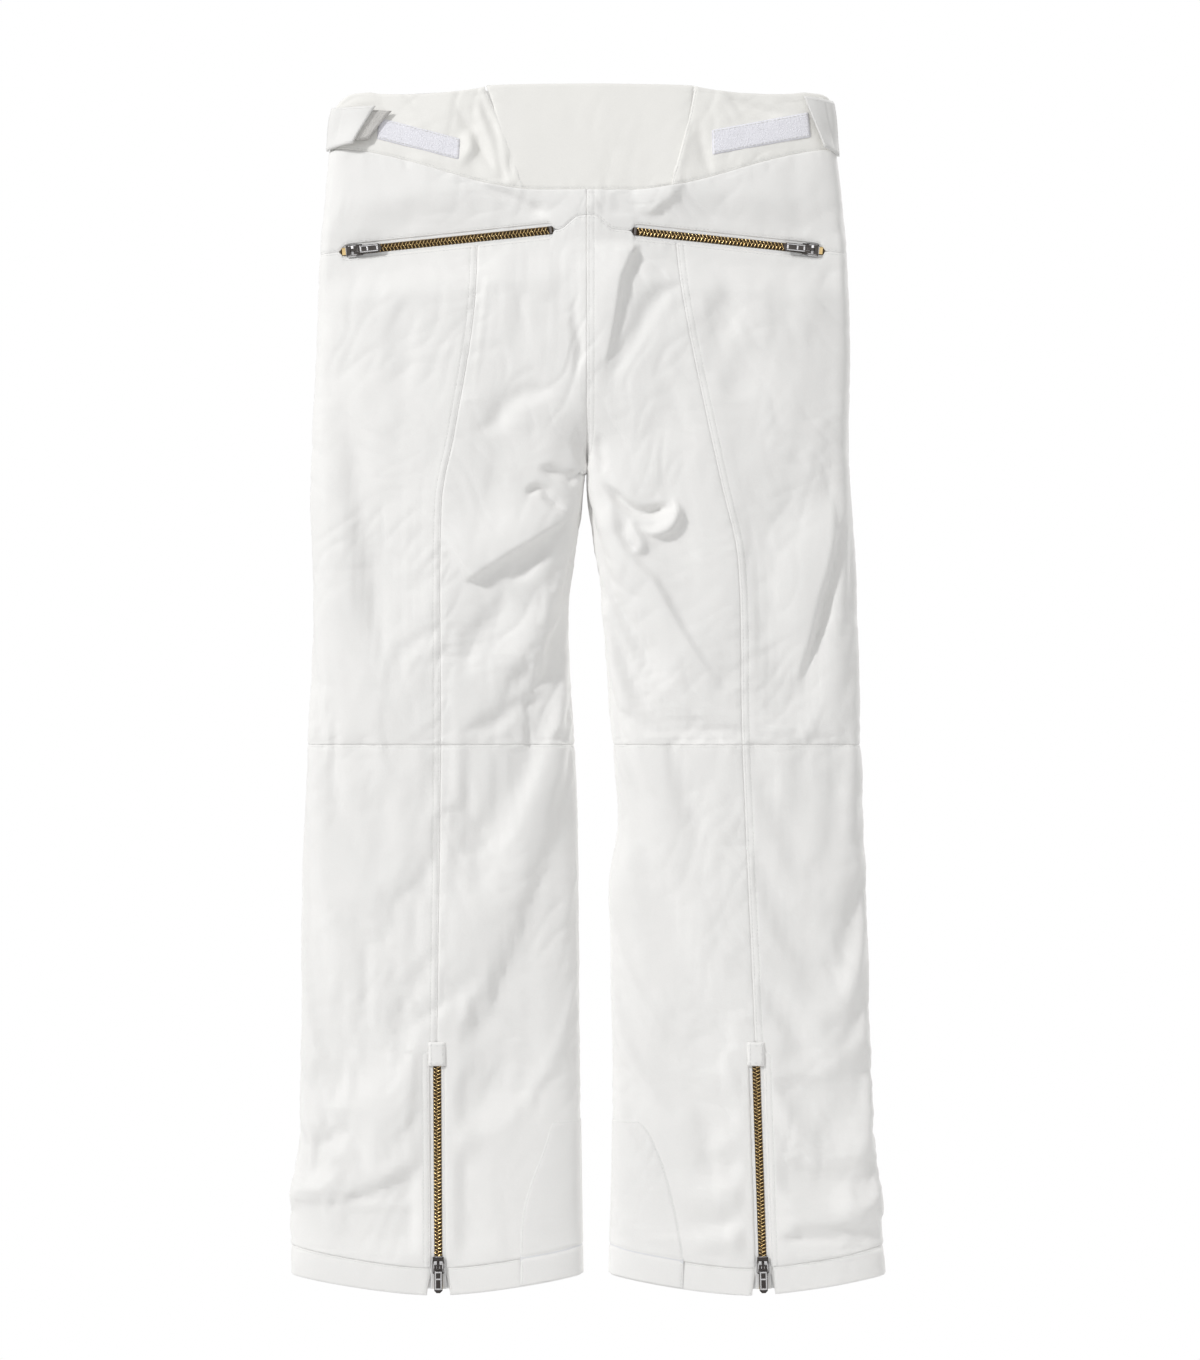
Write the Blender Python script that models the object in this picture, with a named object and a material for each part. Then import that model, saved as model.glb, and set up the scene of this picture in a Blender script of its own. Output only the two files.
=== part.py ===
"""Ski pants, hung by the waist: the back faces +Y, the wearer's left is +X, and z = 0 is the waist's top edge.

Each half of the garment is one smooth tube. A place on it is (u, z): u runs 0 to 4 round the tube, from
the centre back (or the inner leg) at 0, over the back princess seam at 1 and the side seam at 2, to the
front at 3 and the centre front (or the inner leg again) at 4. Every panel is a block of that tube.
"""

import math

import bmesh
import bpy
from mathutils import Matrix, Vector

# Heights of the named lines, in metres
FRONT_BAND_BOTTOM = -0.056
CROTCH = -0.3325
CROTCH_OPENS = -0.240
KNEE = -0.568
KNEE_BAND = 0.050
CALF_ZIP_TOP = -0.832
CALF_ZIP_BOTTOM = -1.034
GAITER_TOP = -0.905
GAITER_BOTTOM = -1.012

# Cloth
SHELL = 0.0022
BAND = 0.0032
SEAM_GAP = 0.0002
ROUNDNESS = 3.5

# Zips
CHAIN_WIDTH = 0.006
CHAIN_PROUD = 0.0008
TAPE_WIDTH = 0.024
TAPE_OUTER = -0.0027
TAPE_INNER = -0.0034
SLOT = 0.0040
SLIDER_LENGTH = 0.014
PULL_AXIS = 0.00375

DEPTH = [
    (0.0, 0.0165), (-0.05, 0.0235), (-0.10, 0.0290), (-0.16, 0.0315), (-0.24, 0.0325), (-0.33, 0.0320),
    (-0.45, 0.0300), (-0.568, 0.0270), (-0.70, 0.0255), (-0.80, 0.0250), (-0.92, 0.0250), (-1.05, 0.0250),
]


def smooth_through(points):
    """A smooth function of height through (height, value) points, listed from the top down."""

    def slope(i):
        low, high = max(i - 1, 0), min(i + 1, len(points) - 1)
        return (points[high][1] - points[low][1]) / (points[high][0] - points[low][0])

    def value(z):
        if z >= points[0][0]:
            return points[0][1]
        if z <= points[-1][0]:
            return points[-1][1]
        i = next(k for k in range(len(points) - 1) if z >= points[k + 1][0])
        (z0, v0), (z1, v1) = points[i], points[i + 1]
        t, span = (z - z0) / (z1 - z0), z1 - z0
        return (
            (2 * t**3 - 3 * t**2 + 1) * v0
            + (t**3 - 2 * t**2 + t) * span * slope(i)
            + (3 * t**2 - 2 * t**3) * v1
            + (t**3 - t**2) * span * slope(i + 1)
        )

    return value


def ease(t):
    t = min(max(t, 0.0), 1.0)
    return t * t * (3 - 2 * t)


depth_at = smooth_through(DEPTH)


class Side:
    """One half of the garment, worked out at +X and mirrored for the wearer's right."""

    def __init__(self, tag, sign, outer, inner, seam, calf_zip, pocket):
        self.tag = tag
        self.sign = sign
        self.outer = smooth_through(outer)
        self.inner = smooth_through(inner)
        self.upper_seam = smooth_through(seam)
        self.calf_zip = calf_zip
        self.pocket = pocket

    def seam(self, z):
        """How far out the back princess seam is. Along the calf zip it is a straight line."""
        top, bottom = self.calf_zip
        straight = top + (bottom - top) * (z - CALF_ZIP_TOP) / (CALF_ZIP_BOTTOM - CALF_ZIP_TOP)
        return straight if z < CALF_ZIP_TOP else self.upper_seam(z)


LEFT = Side(
    "left", 1,
    outer=[(0, 0.2125), (-0.02, 0.2170), (-0.05, 0.2215), (-0.10, 0.2255), (-0.15, 0.2300), (-0.26, 0.2340),
           (-0.33, 0.2362), (-0.41, 0.2350), (-0.48, 0.2345), (-0.568, 0.2390), (-0.69, 0.2440),
           (-0.82, 0.2450), (-0.90, 0.2475), (-0.958, 0.2545), (-1.05, 0.2545)],
    inner=[(CROTCH, 0.0004), (-0.375, 0.0077), (-0.41, 0.0120), (-0.444, 0.0168), (-0.485, 0.0168),
           (-0.58, 0.0111), (-0.684, 0.0086), (-0.82, 0.0077), (-0.94, 0.0060), (-1.05, 0.0040)],
    seam=[(-0.06, 0.094), (-0.19, 0.096), (-0.30, 0.113), (-0.36, 0.124), (-0.57, 0.125), (-0.832, 0.1285)],
    calf_zip=(0.1285, 0.1272),
    pocket=(0.030, 0.210),
)
RIGHT = Side(
    "right", -1,
    outer=[(0, 0.2080), (-0.05, 0.2135), (-0.10, 0.2194), (-0.15, 0.2237), (-0.26, 0.2252), (-0.33, 0.2245),
           (-0.41, 0.2297), (-0.48, 0.2314), (-0.568, 0.2335), (-0.69, 0.2390), (-0.82, 0.2425),
           (-0.90, 0.2460), (-0.958, 0.2528), (-1.05, 0.2588)],
    inner=[(CROTCH, 0.0004), (-0.375, 0.0043), (-0.41, 0.0094), (-0.444, 0.0146), (-0.512, 0.0189),
           (-0.58, 0.0240), (-0.633, 0.0275), (-0.684, 0.0200), (-0.75, 0.0214), (-0.90, 0.0231),
           (-1.05, 0.0190)],
    seam=[(-0.06, 0.074), (-0.145, 0.077), (-0.2125, 0.087), (-0.341, 0.114), (-0.41, 0.129),
          (-0.568, 0.133), (-0.832, 0.1445)],
    calf_zip=(0.1445, 0.1512),
    pocket=(0.040, 0.202),
)
SIDES = (LEFT, RIGHT)


def opening_angle(z):
    """Where the half tube starts: straight up at the hips, and closed to a full tube below the crotch."""
    return -math.pi / 2 * ease((CROTCH_OPENS - z) / (CROTCH_OPENS - CROTCH))


def section(side, z, inset=0.0):
    """(centre x, half width, half depth) of the half tube at a height, moved in by inset."""
    closed = -math.sin(opening_angle(z))
    inner = (side.inner(z) if z < CROTCH else 0.0) + inset * closed
    outer = side.outer(z) - inset
    half_width = (outer - inner) / (1 + closed)
    return outer - half_width, half_width, depth_at(z) - inset


def angle(side, u, z):
    """The angle round the section of column u: -90 degrees at the inner leg, 90 at the side seam."""
    if u > 4:
        return 2 * math.pi + angle(side, u - 4, z)
    if u > 2:
        return math.pi - angle(side, 4 - u, z)
    start = opening_angle(z)
    centre, half_width, _ = section(side, z)
    seam = math.asin(min(max((side.seam(z) - centre) / half_width, -0.95), 0.95))
    if u < 1:
        return start + (seam - start) * u
    return seam + (math.pi / 2 - seam) * (u - 1)


def pocket_height(x):
    return -0.1245 - 0.096 * x


def flats(side, x, z, front):
    """(weight, depth) of each place where a zip or a clip needs the cloth flat."""
    if front:
        weight = ease((0.055 - x) / 0.025) * ease((z + 0.245) / 0.030)
        return [(weight, 0.0215 + 0.045 * (-0.05 - z))]
    in_x, out_x = side.pocket
    pocket_depth = 0.0265 - 0.0120 * (x - in_x) / (out_x - in_x)
    pocket = ease((0.045 - abs(z - pocket_height(x))) / 0.030)
    clip = ease((0.090 - x) / 0.040) * ease((z + 0.135) / 0.045) * (1 - pocket)
    calf = ease((-0.76 - z) / 0.04) * ease((0.040 - abs(x - side.seam(z))) / 0.020)
    return [(clip, 0.0155 + 0.125 * -z), (pocket, pocket_depth), (calf, 0.0246)]


def place(side, u, z, inset=0.0):
    """The point of the cloth at (u, z), moved in from the outer face by inset."""
    a = angle(side, u, z)
    centre, half_width, half_depth = section(side, z, inset)
    x = centre + half_width * math.sin(a)
    cosine = math.cos(a)
    y = half_depth * math.copysign(abs(cosine) ** (2 / ROUNDNESS), cosine)
    for weight, depth in flats(side, x, z, y < 0):
        y = math.copysign(abs(y) - weight * max(0.0, abs(y) - (depth - inset)), y)
    return Vector((side.sign * x, y, z))


# Lines across the garment: each gives a height for a half's x and for back or front


def waist_top(side, x, front):
    corner = max(0.0, (x - 0.200) / 0.017)
    return -0.0080 * (x / 0.20) ** 2 - 0.010 * corner**2


def band_bottom(side, x, front):
    if front:
        return FRONT_BAND_BOTTOM
    return -0.0925 + 0.0365 * ease((x - 0.04) / 0.18)


def pocket_line(side, x, front):
    return -0.125 if front else pocket_height(x)


def knee_top(side, x, front):
    return KNEE + KNEE_BAND


def knee_low(side, x, front):
    return KNEE - KNEE_BAND


def knee_line(side, x, front):
    return KNEE


def across(side, x, z):
    """0 at the middle of the leg and 1 at its edges."""
    centre, half_width, _ = section(side, z)
    return min(1.0, abs(x - centre) / half_width)


def hem_seam(side, x, front):
    rise = across(side, x, -1.01) ** 1.5
    return -1.0165 + 0.018 * rise if not front else -1.0025 + 0.004 * rise


def hem_bottom(side, x, front):
    rise = 0.016 * across(side, x, -1.03) ** 1.5
    return -1.0400 + rise if not front else -1.0340 + 0.625 * rise


def line_height(line, side, u):
    """The height at which column u meets a line, found in two steps because the columns slant."""
    x = abs(place(side, u % 4 if u > 4 else u, line(side, 0.12, False)).x)
    front = 2 < u <= 4
    x = abs(place(side, u % 4 if u > 4 else u, line(side, x, front)).x)
    return line(side, x, front)


def between(upper, lower, count):
    """count + 1 rows from one line down to another. A line may be (line, shift)."""
    upper_line, upper_shift = upper if isinstance(upper, tuple) else (upper, 0.0)
    lower_line, lower_shift = lower if isinstance(lower, tuple) else (lower, 0.0)

    def row(k):
        def height(side, u):
            top = line_height(upper_line, side, u) + shift_of(upper_shift, u)
            low = line_height(lower_line, side, u) + shift_of(lower_shift, u)
            return top + (low - top) * k / count

        return height

    return [row(k) for k in range(count + 1)]


def one_row(line):
    return lambda side, u: line_height(line, side, u)


def shift_of(shift, u):
    return shift(u) if callable(shift) else shift


def at_height(z):
    return lambda side, x, front: z


CALF_LINES = [at_height(z) for z in (-0.70, -0.77, CALF_ZIP_TOP + 0.002, CALF_ZIP_TOP, -0.90, -0.95)]

# Columns round the half tube
BACK_INNER = [0, 0.26, 0.5, 0.75, 1]
BACK_OUTER = [1, 1.17, 1.34, 1.51, 1.68, 1.84, 2]
FRONT = [2, 2.2, 2.45, 2.7, 3, 3.35, 3.7, 4]
POCKET_COLUMNS = (0.26, 1.68)


def pocket_slot(u):
    inside = POCKET_COLUMNS[0] - 0.01 <= u <= POCKET_COLUMNS[1] + 0.01
    return SLOT if inside else 0.0


def material(name, colour, roughness=0.8, metallic=0.0):
    made = bpy.data.materials.get(name)
    if made:
        return made
    made = bpy.data.materials.new(name)
    made.use_nodes = True
    shader = made.node_tree.nodes["Principled BSDF"]
    shader.inputs["Base Color"].default_value = (*colour, 1)
    shader.inputs["Roughness"].default_value = roughness
    shader.inputs["Metallic"].default_value = metallic
    made.diffuse_color = (*colour, 1)
    return made


def shell_cloth():
    return material("shell_fabric", (0.87, 0.87, 0.86), 0.75)


def stretch_cloth():
    return material("stretch_fabric", (0.84, 0.84, 0.81), 0.6)


def loop_tape():
    return material("loop_tape", (0.83, 0.82, 0.92), 0.9)


def hook_tape():
    return material("hook_tape", (0.55, 0.52, 0.50), 0.7)


def lining_cloth():
    return material("lining_fabric", (0.80, 0.80, 0.82), 0.7)


def zip_metal():
    return material("zip_brass", (0.72, 0.53, 0.22), 0.3, 1.0)


def slider_metal():
    return material("slider_metal", (0.55, 0.55, 0.57), 0.2, 1.0)


def new_object(name, mesh, finish):
    mesh.materials.append(finish)
    made = bpy.data.objects.new(name, mesh)
    bpy.context.scene.collection.objects.link(made)
    return made


def mesh_from(name, build):
    """A mesh from a function that fills a bmesh, with its faces turned outwards."""
    shape = bmesh.new()
    build(shape)
    bmesh.ops.recalc_face_normals(shape, faces=shape.faces[:])
    mesh = bpy.data.meshes.new(name)
    shape.to_mesh(mesh)
    shape.free()
    return mesh


def pulled_in(grid, gap):
    """The grid with its border moved in along the grid by gap, so that neighbours don't touch."""

    def toward(point, other):
        return point + (other - point).normalized() * gap

    last = len(grid[0]) - 1
    rows = [[toward(r[0], r[1])] + r[1:last] + [toward(r[last], r[last - 1])] for r in grid]
    top = [toward(a, b) for a, b in zip(rows[0], rows[1])]
    bottom = [toward(a, b) for a, b in zip(rows[-1], rows[-2])]
    return [top] + rows[1:-1] + [bottom]


def panel(name, columns, rows, finish, outer=0.0, inner=SHELL, shift=None):
    """A closed panel between two insets. columns are (side, u); rows are functions of (side, u).

    shift(i, point) may move column i's point, as along the two edges of a slot.
    """

    def grid(inset):
        points = [[place(side, u, row(side, u), inset) for side, u in columns] for row in rows]
        if shift:
            points = [[shift(i, point) for i, point in enumerate(line)] for line in points]
        return pulled_in(points, SEAM_GAP)

    def build(shape):
        faces = [[[shape.verts.new(p) for p in line] for line in grid(inset)] for inset in (outer, inner)]
        height, width = len(rows), len(columns)
        for skin in faces:
            for r in range(height - 1):
                for c in range(width - 1):
                    shape.faces.new((skin[r][c], skin[r][c + 1], skin[r + 1][c + 1], skin[r + 1][c]))
        rim = [(0, c) for c in range(width)] + [(r, width - 1) for r in range(1, height)]
        rim += [(height - 1, c) for c in range(width - 2, -1, -1)] + [(r, 0) for r in range(height - 2, 0, -1)]
        for (r0, c0), (r1, c1) in zip(rim, rim[1:] + rim[:1]):
            shape.faces.new((faces[0][r0][c0], faces[1][r0][c0], faces[1][r1][c1], faces[0][r1][c1]))

    return new_object(name, mesh_from(name, build), finish)


def on(side, columns):
    return [(side, u) for u in columns]


def edge_moved(index, distance, sign):
    """A shift that moves one column of a panel sideways by distance."""

    def move(i, point):
        return point + Vector((sign * distance, 0, 0)) if i == index else point

    return move


def tube(name, side, z_top, z_bottom, outer, inner, finish, count=18, rows=3):
    """A closed sleeve round the whole leg, open at the top and the bottom."""

    def build(shape):
        heights = [z_top + (z_bottom - z_top) * k / (rows - 1) for k in range(rows)]
        loops = [
            [[shape.verts.new(place(side, 4 * c / count, z, inset)) for c in range(count)] for z in heights]
            for inset in (outer, inner)
        ]
        around = [(c, (c + 1) % count) for c in range(count)]
        for skin in loops:
            for upper, lower in zip(skin, skin[1:]):
                for a, b in around:
                    shape.faces.new((upper[a], upper[b], lower[b], lower[a]))
        for end in (0, rows - 1):
            for a, b in around:
                shape.faces.new((loops[0][end][a], loops[0][end][b], loops[1][end][b], loops[1][end][a]))

    return new_object(name, mesh_from(name, build), finish)


# Waist


def waistband():
    seam = {LEFT: 0.62, RIGHT: 0.88}
    centre_columns = [(LEFT, seam[LEFT]), (LEFT, 0.3), (RIGHT, 0.4), (RIGHT, seam[RIGHT])]
    rows = between(waist_top, (band_bottom, SEAM_GAP), 3)
    panel("waistband_centre_back", centre_columns, rows, stretch_cloth(), inner=BAND)
    for side in SIDES:
        back = [seam[side], 1.1, 1.3, 1.5, 1.68, 1.84, 2]
        panel(f"waistband_back_{side.tag}", on(side, back), rows, stretch_cloth(), inner=BAND)
        panel(f"waistband_front_{side.tag}", on(side, FRONT), rows, shell_cloth(), inner=BAND)


def adjuster_strip(side):
    """The loop tape that the adjuster tab grips, sewn flat on the waistband."""
    columns = [1.10, 1.2, 1.3, 1.4, 1.5, 1.6]
    rows = between(at_height(-0.034), at_height(-0.053), 1)
    panel(f"adjuster_strip_{side.tag}", on(side, columns), rows, loop_tape(), outer=-0.0015, inner=-0.0004)


TAB_COLUMNS = [1.50, 1.58, 1.66, 1.74, 1.82, 1.90, 1.96]


def adjuster_tab(side):
    """The stiff cloth tab, and the hook tape under its free end."""
    rows = between(at_height(-0.022), at_height(-0.057), 2)
    tab = panel(f"adjuster_tab_{side.tag}", on(side, TAB_COLUMNS), rows, shell_cloth(), -0.0046, -0.0028)
    rows = between(at_height(-0.032), at_height(-0.054), 1)
    hook_columns = on(side, TAB_COLUMNS[:3] + [1.70])
    hook = panel(f"adjuster_hook_{side.tag}", hook_columns, rows, hook_tape(), -0.0025, -0.0018)
    axis = place(side, 1.97, -0.04, -0.0036)
    for piece in (tab, hook):
        set_origin(piece, axis)


# Upper


def yoke(side):
    columns = on(side, BACK_INNER + BACK_OUTER[1:])
    rows = between((band_bottom, -SEAM_GAP), (pocket_line, pocket_slot), 2)
    panel(f"back_yoke_{side.tag}", columns, rows, shell_cloth())


def upper_legs(side):
    rows = between((pocket_line, lambda u: -pocket_slot(u)), knee_top, 9)
    panel(f"seat_and_inner_thigh_{side.tag}", on(side, BACK_INNER), rows, shell_cloth())
    panel(f"outer_thigh_{side.tag}", on(side, BACK_OUTER), rows, shell_cloth())
    rows = between((at_height(FRONT_BAND_BOTTOM), -SEAM_GAP), knee_line, 10)
    fly = edge_moved(len(FRONT) - 1, SLOT, side.sign)

    def fly_slot(i, point):
        return fly(i, point) if point.z > FLY_BOTTOM - 0.010 else point

    panel(f"front_upper_{side.tag}", on(side, FRONT), rows, shell_cloth(), shift=fly_slot)


def back_knee(side):
    """The band of cloth behind the knee, which crumples when the knee bends."""
    columns = on(side, BACK_INNER + BACK_OUTER[1:])
    panel(f"back_knee_{side.tag}", columns, between(knee_top, knee_low, 2), shell_cloth())


# Lower


def lower_legs(side):
    def calf_slot(index, sign):
        move = edge_moved(index, SLOT, sign * side.sign)
        return lambda i, point: move(i, point) if point.z < CALF_ZIP_TOP + 0.001 else point

    rows = [one_row(line) for line in [knee_low] + CALF_LINES + [hem_seam]]
    inner_slot = calf_slot(len(BACK_INNER) - 1, -1)
    panel(f"calf_inner_{side.tag}", on(side, BACK_INNER), rows, shell_cloth(), shift=inner_slot)
    panel(f"calf_outer_{side.tag}", on(side, BACK_OUTER), rows, shell_cloth(), shift=calf_slot(0, 1))
    front_rows = [one_row(knee_line)] + rows
    panel(f"front_shin_{side.tag}", on(side, FRONT), front_rows, shell_cloth())


def hem_band(side):
    """The turned-up hem, one strip from one edge of the calf zip round the leg to the other."""
    columns = BACK_OUTER + FRONT[1:] + [4 + u for u in BACK_INNER[1:]]

    def slot(i, point):
        if i == 0:
            return point + Vector((side.sign * SLOT, 0, 0))
        return point - Vector((side.sign * SLOT, 0, 0)) if i == len(columns) - 1 else point

    rows = between((hem_seam, -SEAM_GAP), hem_bottom, 1)
    panel(f"hem_band_{side.tag}", on(side, columns), rows, shell_cloth(), inner=SHELL, shift=slot)


def scuff_guard(side):
    """The tougher patch over the inner ankle, sewn on over the leg and the hem."""
    columns = on(side, [3.7, 4, 4.26, 4.5])
    rows = [one_row(line) for line in CALF_LINES[-2:] + [hem_seam]]
    rows += between(hem_bottom, (hem_bottom, 0.002), 1)[1:]
    panel(f"scuff_guard_{side.tag}", columns, rows, shell_cloth(), outer=-0.0014, inner=-0.0004)


def snow_gaiter(side):
    """The elastic inner cuff that keeps snow out of the boot."""
    tube(f"snow_gaiter_{side.tag}", side, GAITER_TOP, GAITER_BOTTOM, 0.0085, 0.0097, lining_cloth())


def calf_gusset(side):
    """The cloth behind the calf zip that closes the leg when the zip is open."""
    columns = on(side, [0.78, 0.9, 1, 1.1, 1.22])
    rows = between(at_height(CALF_ZIP_TOP + 0.008), at_height(CALF_ZIP_BOTTOM + 0.008), 3)
    panel(f"calf_gusset_{side.tag}", columns, rows, lining_cloth(), outer=0.0050, inner=0.0058)


def pocket_bag(side):
    """The pocket's bag, empty and pressed flat, hanging inside the seat."""
    columns = on(side, [0.5, 0.75, 1, 1.2, 1.4, 1.55])
    rows = between((pocket_line, -0.020), at_height(-0.300), 4)
    panel(f"pocket_bag_{side.tag}", columns, rows, lining_cloth(), outer=0.0048, inner=0.0066)


# Zips. In a zip's own axes +X is the way its slider opens it, +Z is out of the cloth, and z = 0 is the
# cloth's outer face.


def zip_axes(start, along, outward):
    x_axis = along.normalized()
    z_axis = (outward - x_axis * outward.dot(x_axis)).normalized()
    y_axis = z_axis.cross(x_axis)
    turn = Matrix((x_axis, y_axis, z_axis)).transposed().to_4x4()
    return Matrix.Translation(start) @ turn


def prism(outline, low, high):
    """A builder of the outline in (y, z), extruded along x."""

    def build(shape):
        near = [shape.verts.new((low, y, z)) for y, z in outline]
        far = [shape.verts.new((high, y, z)) for y, z in outline]
        shape.faces.new(near)
        shape.faces.new(far)
        for i in range(len(outline)):
            j = (i + 1) % len(outline)
            shape.faces.new((near[i], near[j], far[j], far[i]))

    return build


def zip_chain(name, axes, length):
    """The two tapes and their closed row of teeth, as one strip."""
    tape, chain = TAPE_WIDTH / 2, CHAIN_WIDTH / 2
    outline = [
        (-tape, TAPE_INNER), (tape, TAPE_INNER), (tape, TAPE_OUTER), (chain, TAPE_OUTER),
        (chain, CHAIN_PROUD), (-chain, CHAIN_PROUD), (-chain, TAPE_OUTER), (-tape, TAPE_OUTER),
    ]
    made = new_object(name, mesh_from(name, prism(outline, 0, length)), zip_metal())
    made.matrix_world = axes
    return made


def zip_slider(name, axes):
    """The slider: a plate with two lips astride the chain, and the arch that holds the pull."""
    plate = [
        (-0.0047, 0.0004), (-0.0036, 0.0004), (-0.0036, 0.0012), (0.0036, 0.0012),
        (0.0036, 0.0004), (0.0047, 0.0004), (0.0047, 0.0022), (0.0038, 0.0029),
        (-0.0038, 0.0029), (-0.0047, 0.0022),
    ]
    half = SLIDER_LENGTH / 2
    made = new_object(name, mesh_from(name, prism(plate, -half, half)), slider_metal())

    def arch(shape):
        outer = [(-0.0036, 0.0025), (-0.0036, 0.0048), (-0.0024, 0.0058), (0.0024, 0.0058), (0.0036, 0.0048),
                 (0.0036, 0.0025)]
        inner = [(0.0025, 0.0025), (0.0025, 0.0043), (0.0020, 0.0047), (-0.0020, 0.0047), (-0.0025, 0.0043),
                 (-0.0025, 0.0025)]
        ring = outer + inner
        near = [shape.verts.new((x, -0.0011, z)) for x, z in ring]
        far = [shape.verts.new((x, 0.0011, z)) for x, z in ring]
        for i in range(len(ring)):
            j = (i + 1) % len(ring)
            shape.faces.new((near[i], near[j], far[j], far[i]))
        for i in range(len(outer) - 1):
            j = len(ring) - 1 - i
            for side in (near, far):
                shape.faces.new((side[i], side[i + 1], side[j - 1], side[j]))

    helper = new_object(f"{name}_arch", mesh_from(f"{name}_arch", arch), slider_metal())
    helper.hide_render = True
    helper.display_type = "WIRE"
    made.matrix_world = axes
    helper.matrix_world = axes
    joined = made.modifiers.new("arch", "BOOLEAN")
    joined.operation = "UNION"
    joined.object = helper
    return made


def zip_pull(name, axes, way):
    """The pull: a plate with a window for the slider's arch. way is -1 where it lies back over the slider."""
    half_width, thick, window = 0.0035, 0.0010, 0.0016
    ends = (-0.0005, 0.0005, 0.0044, 0.0235)

    def build(shape):
        layers = []
        for z in (-thick / 2, thick / 2):
            outer = [(ends[0], -half_width), (ends[3] - 0.002, -half_width), (ends[3], -half_width + 0.002),
                     (ends[3], half_width - 0.002), (ends[3] - 0.002, half_width), (ends[0], half_width)]
            inner = [(ends[1], -window), (ends[2], -window), (ends[2], window), (ends[1], window)]
            layers.append(
                (
                    [shape.verts.new((way * x, y, z)) for x, y in outer],
                    [shape.verts.new((way * x, y, z)) for x, y in inner],
                )
            )
        (outer_low, inner_low), (outer_high, inner_high) = layers
        for low, high in ((outer_low, outer_high), (inner_low, inner_high)):
            for i in range(len(low)):
                j = (i + 1) % len(low)
                shape.faces.new((low[i], low[j], high[j], high[i]))
        for outer, inner in layers:
            shape.faces.new((outer[0], outer[1], inner[1], inner[0]))
            shape.faces.new((outer[1], outer[2], outer[3], outer[4], inner[2], inner[1]))
            shape.faces.new((outer[4], outer[5], inner[3], inner[2]))
            shape.faces.new((outer[5], outer[0], inner[0], inner[3]))

    made = new_object(name, mesh_from(name, build), slider_metal())
    made.matrix_world = axes @ Matrix.Translation((0, 0, PULL_AXIS))
    return made


def zip_set(name, start, end, outward, slider_at, pull_way):
    """A chain from start to end, with its slider slider_at metres from start."""
    axes = zip_axes(start, end - start, outward)
    zip_chain(f"{name}_zip", axes, (end - start).length)
    slider_axes = axes @ Matrix.Translation((slider_at, 0, 0))
    zip_slider(f"{name}_slider", slider_axes)
    zip_pull(f"{name}_pull", slider_axes, pull_way)


def pocket_zip(side):
    """The back pocket's zip. It is shut with its slider at the outer end."""
    in_x, out_x = side.pocket

    def point(x):
        depth = 0.0265 - 0.0120 * (x - in_x) / (out_x - in_x)
        return Vector((side.sign * x, depth, pocket_height(x)))

    start, end = point(out_x), point(in_x)
    outward = Vector((side.sign * 0.0120 / (out_x - in_x), 1, 0))
    zip_set(f"pocket_{side.tag}", start, end, outward, 0.0105, 1)


def calf_zip(side):
    """The zip at the back of the ankle. It is shut with its slider at the hem."""
    top, bottom = side.calf_zip
    start = Vector((side.sign * bottom, 0.0246, CALF_ZIP_BOTTOM))
    end = Vector((side.sign * top, 0.0246, CALF_ZIP_TOP))
    end = start + (end - start) * 0.985
    zip_set(f"calf_{side.tag}", start, end, Vector((0, 1, 0)), 0.0205, -1)


def garage_tab(side):
    """The small stitched tab over the top end of the calf zip."""
    x = side.sign * side.calf_zip[0]
    start = Vector((x, 0.0246, CALF_ZIP_TOP + 0.001))
    outline = [(-0.008, 0.0004), (0.008, 0.0004), (0.008, 0.0016), (-0.008, 0.0016)]
    made = new_object(f"zip_garage_{side.tag}", mesh_from("garage", prism(outline, 0, 0.010)), shell_cloth())
    made.matrix_world = zip_axes(start, Vector((0, 0, 1)), Vector((0, 1, 0)))


# Fly


def fly_point(z):
    return Vector((0, -(0.0215 + 0.045 * (-0.05 - z)), z))


FLY_TOP = -0.060
FLY_BOTTOM = -0.212
SNAP_DOWN = 0.024
SNAP_ACROSS = -0.006


def fly():
    """The front zip under its flap, and the snap that shuts the waist above it."""
    start, end = fly_point(FLY_TOP), fly_point(FLY_BOTTOM)
    outward = Vector((0, -1, 0))
    zip_set("fly", start, end, outward, 0.012, 1)
    axes = zip_axes(fly_point(-0.006), end - start, outward)
    flap = [
        (-0.022, 0.0064), (0.0180, 0.0064), (0.0180, 0.0004), (0.0200, 0.0004),
        (0.0200, 0.0080), (-0.022, 0.0080),
    ]
    cover = new_object("fly_flap", mesh_from("fly_flap", prism(flap, 0, 0.216)), shell_cloth())
    cap = disc("snap_cap", (SNAP_DOWN, SNAP_ACROSS, 0.0083), 0.0075, 0.0022)
    socket = disc("snap_socket", (SNAP_DOWN, SNAP_ACROSS, 0.0006), 0.0055, 0.0055)
    socket.matrix_world = axes
    hinge = Matrix.Translation((0, 0.0200, 0.0014))
    for piece in (cover, cap):
        piece.data.transform(hinge.inverted())
        piece.matrix_world = axes @ hinge


def disc(name, centre, radius, height, sides=20):
    """A flat button of the snap, a little narrower at its outer face."""
    x0, y0, z0 = centre
    taper = 0.88

    def build(shape):
        turns = [2 * math.pi * k / sides for k in range(sides)]
        rim = [(radius * math.cos(a), radius * math.sin(a)) for a in turns]
        near = [shape.verts.new((x0 + x, y0 + y, z0)) for x, y in rim]
        far = [shape.verts.new((x0 + taper * x, y0 + taper * y, z0 + height)) for x, y in rim]
        shape.faces.new(near)
        shape.faces.new(far)
        for i in range(sides):
            j = (i + 1) % sides
            shape.faces.new((near[i], near[j], far[j], far[i]))

    return new_object(name, mesh_from(name, build), slider_metal())


def set_origin(piece, origin):
    """Moves an object's origin to a point, and leaves its shape where it is."""
    piece.data.transform(Matrix.Translation(-origin))
    piece.location = origin


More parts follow.
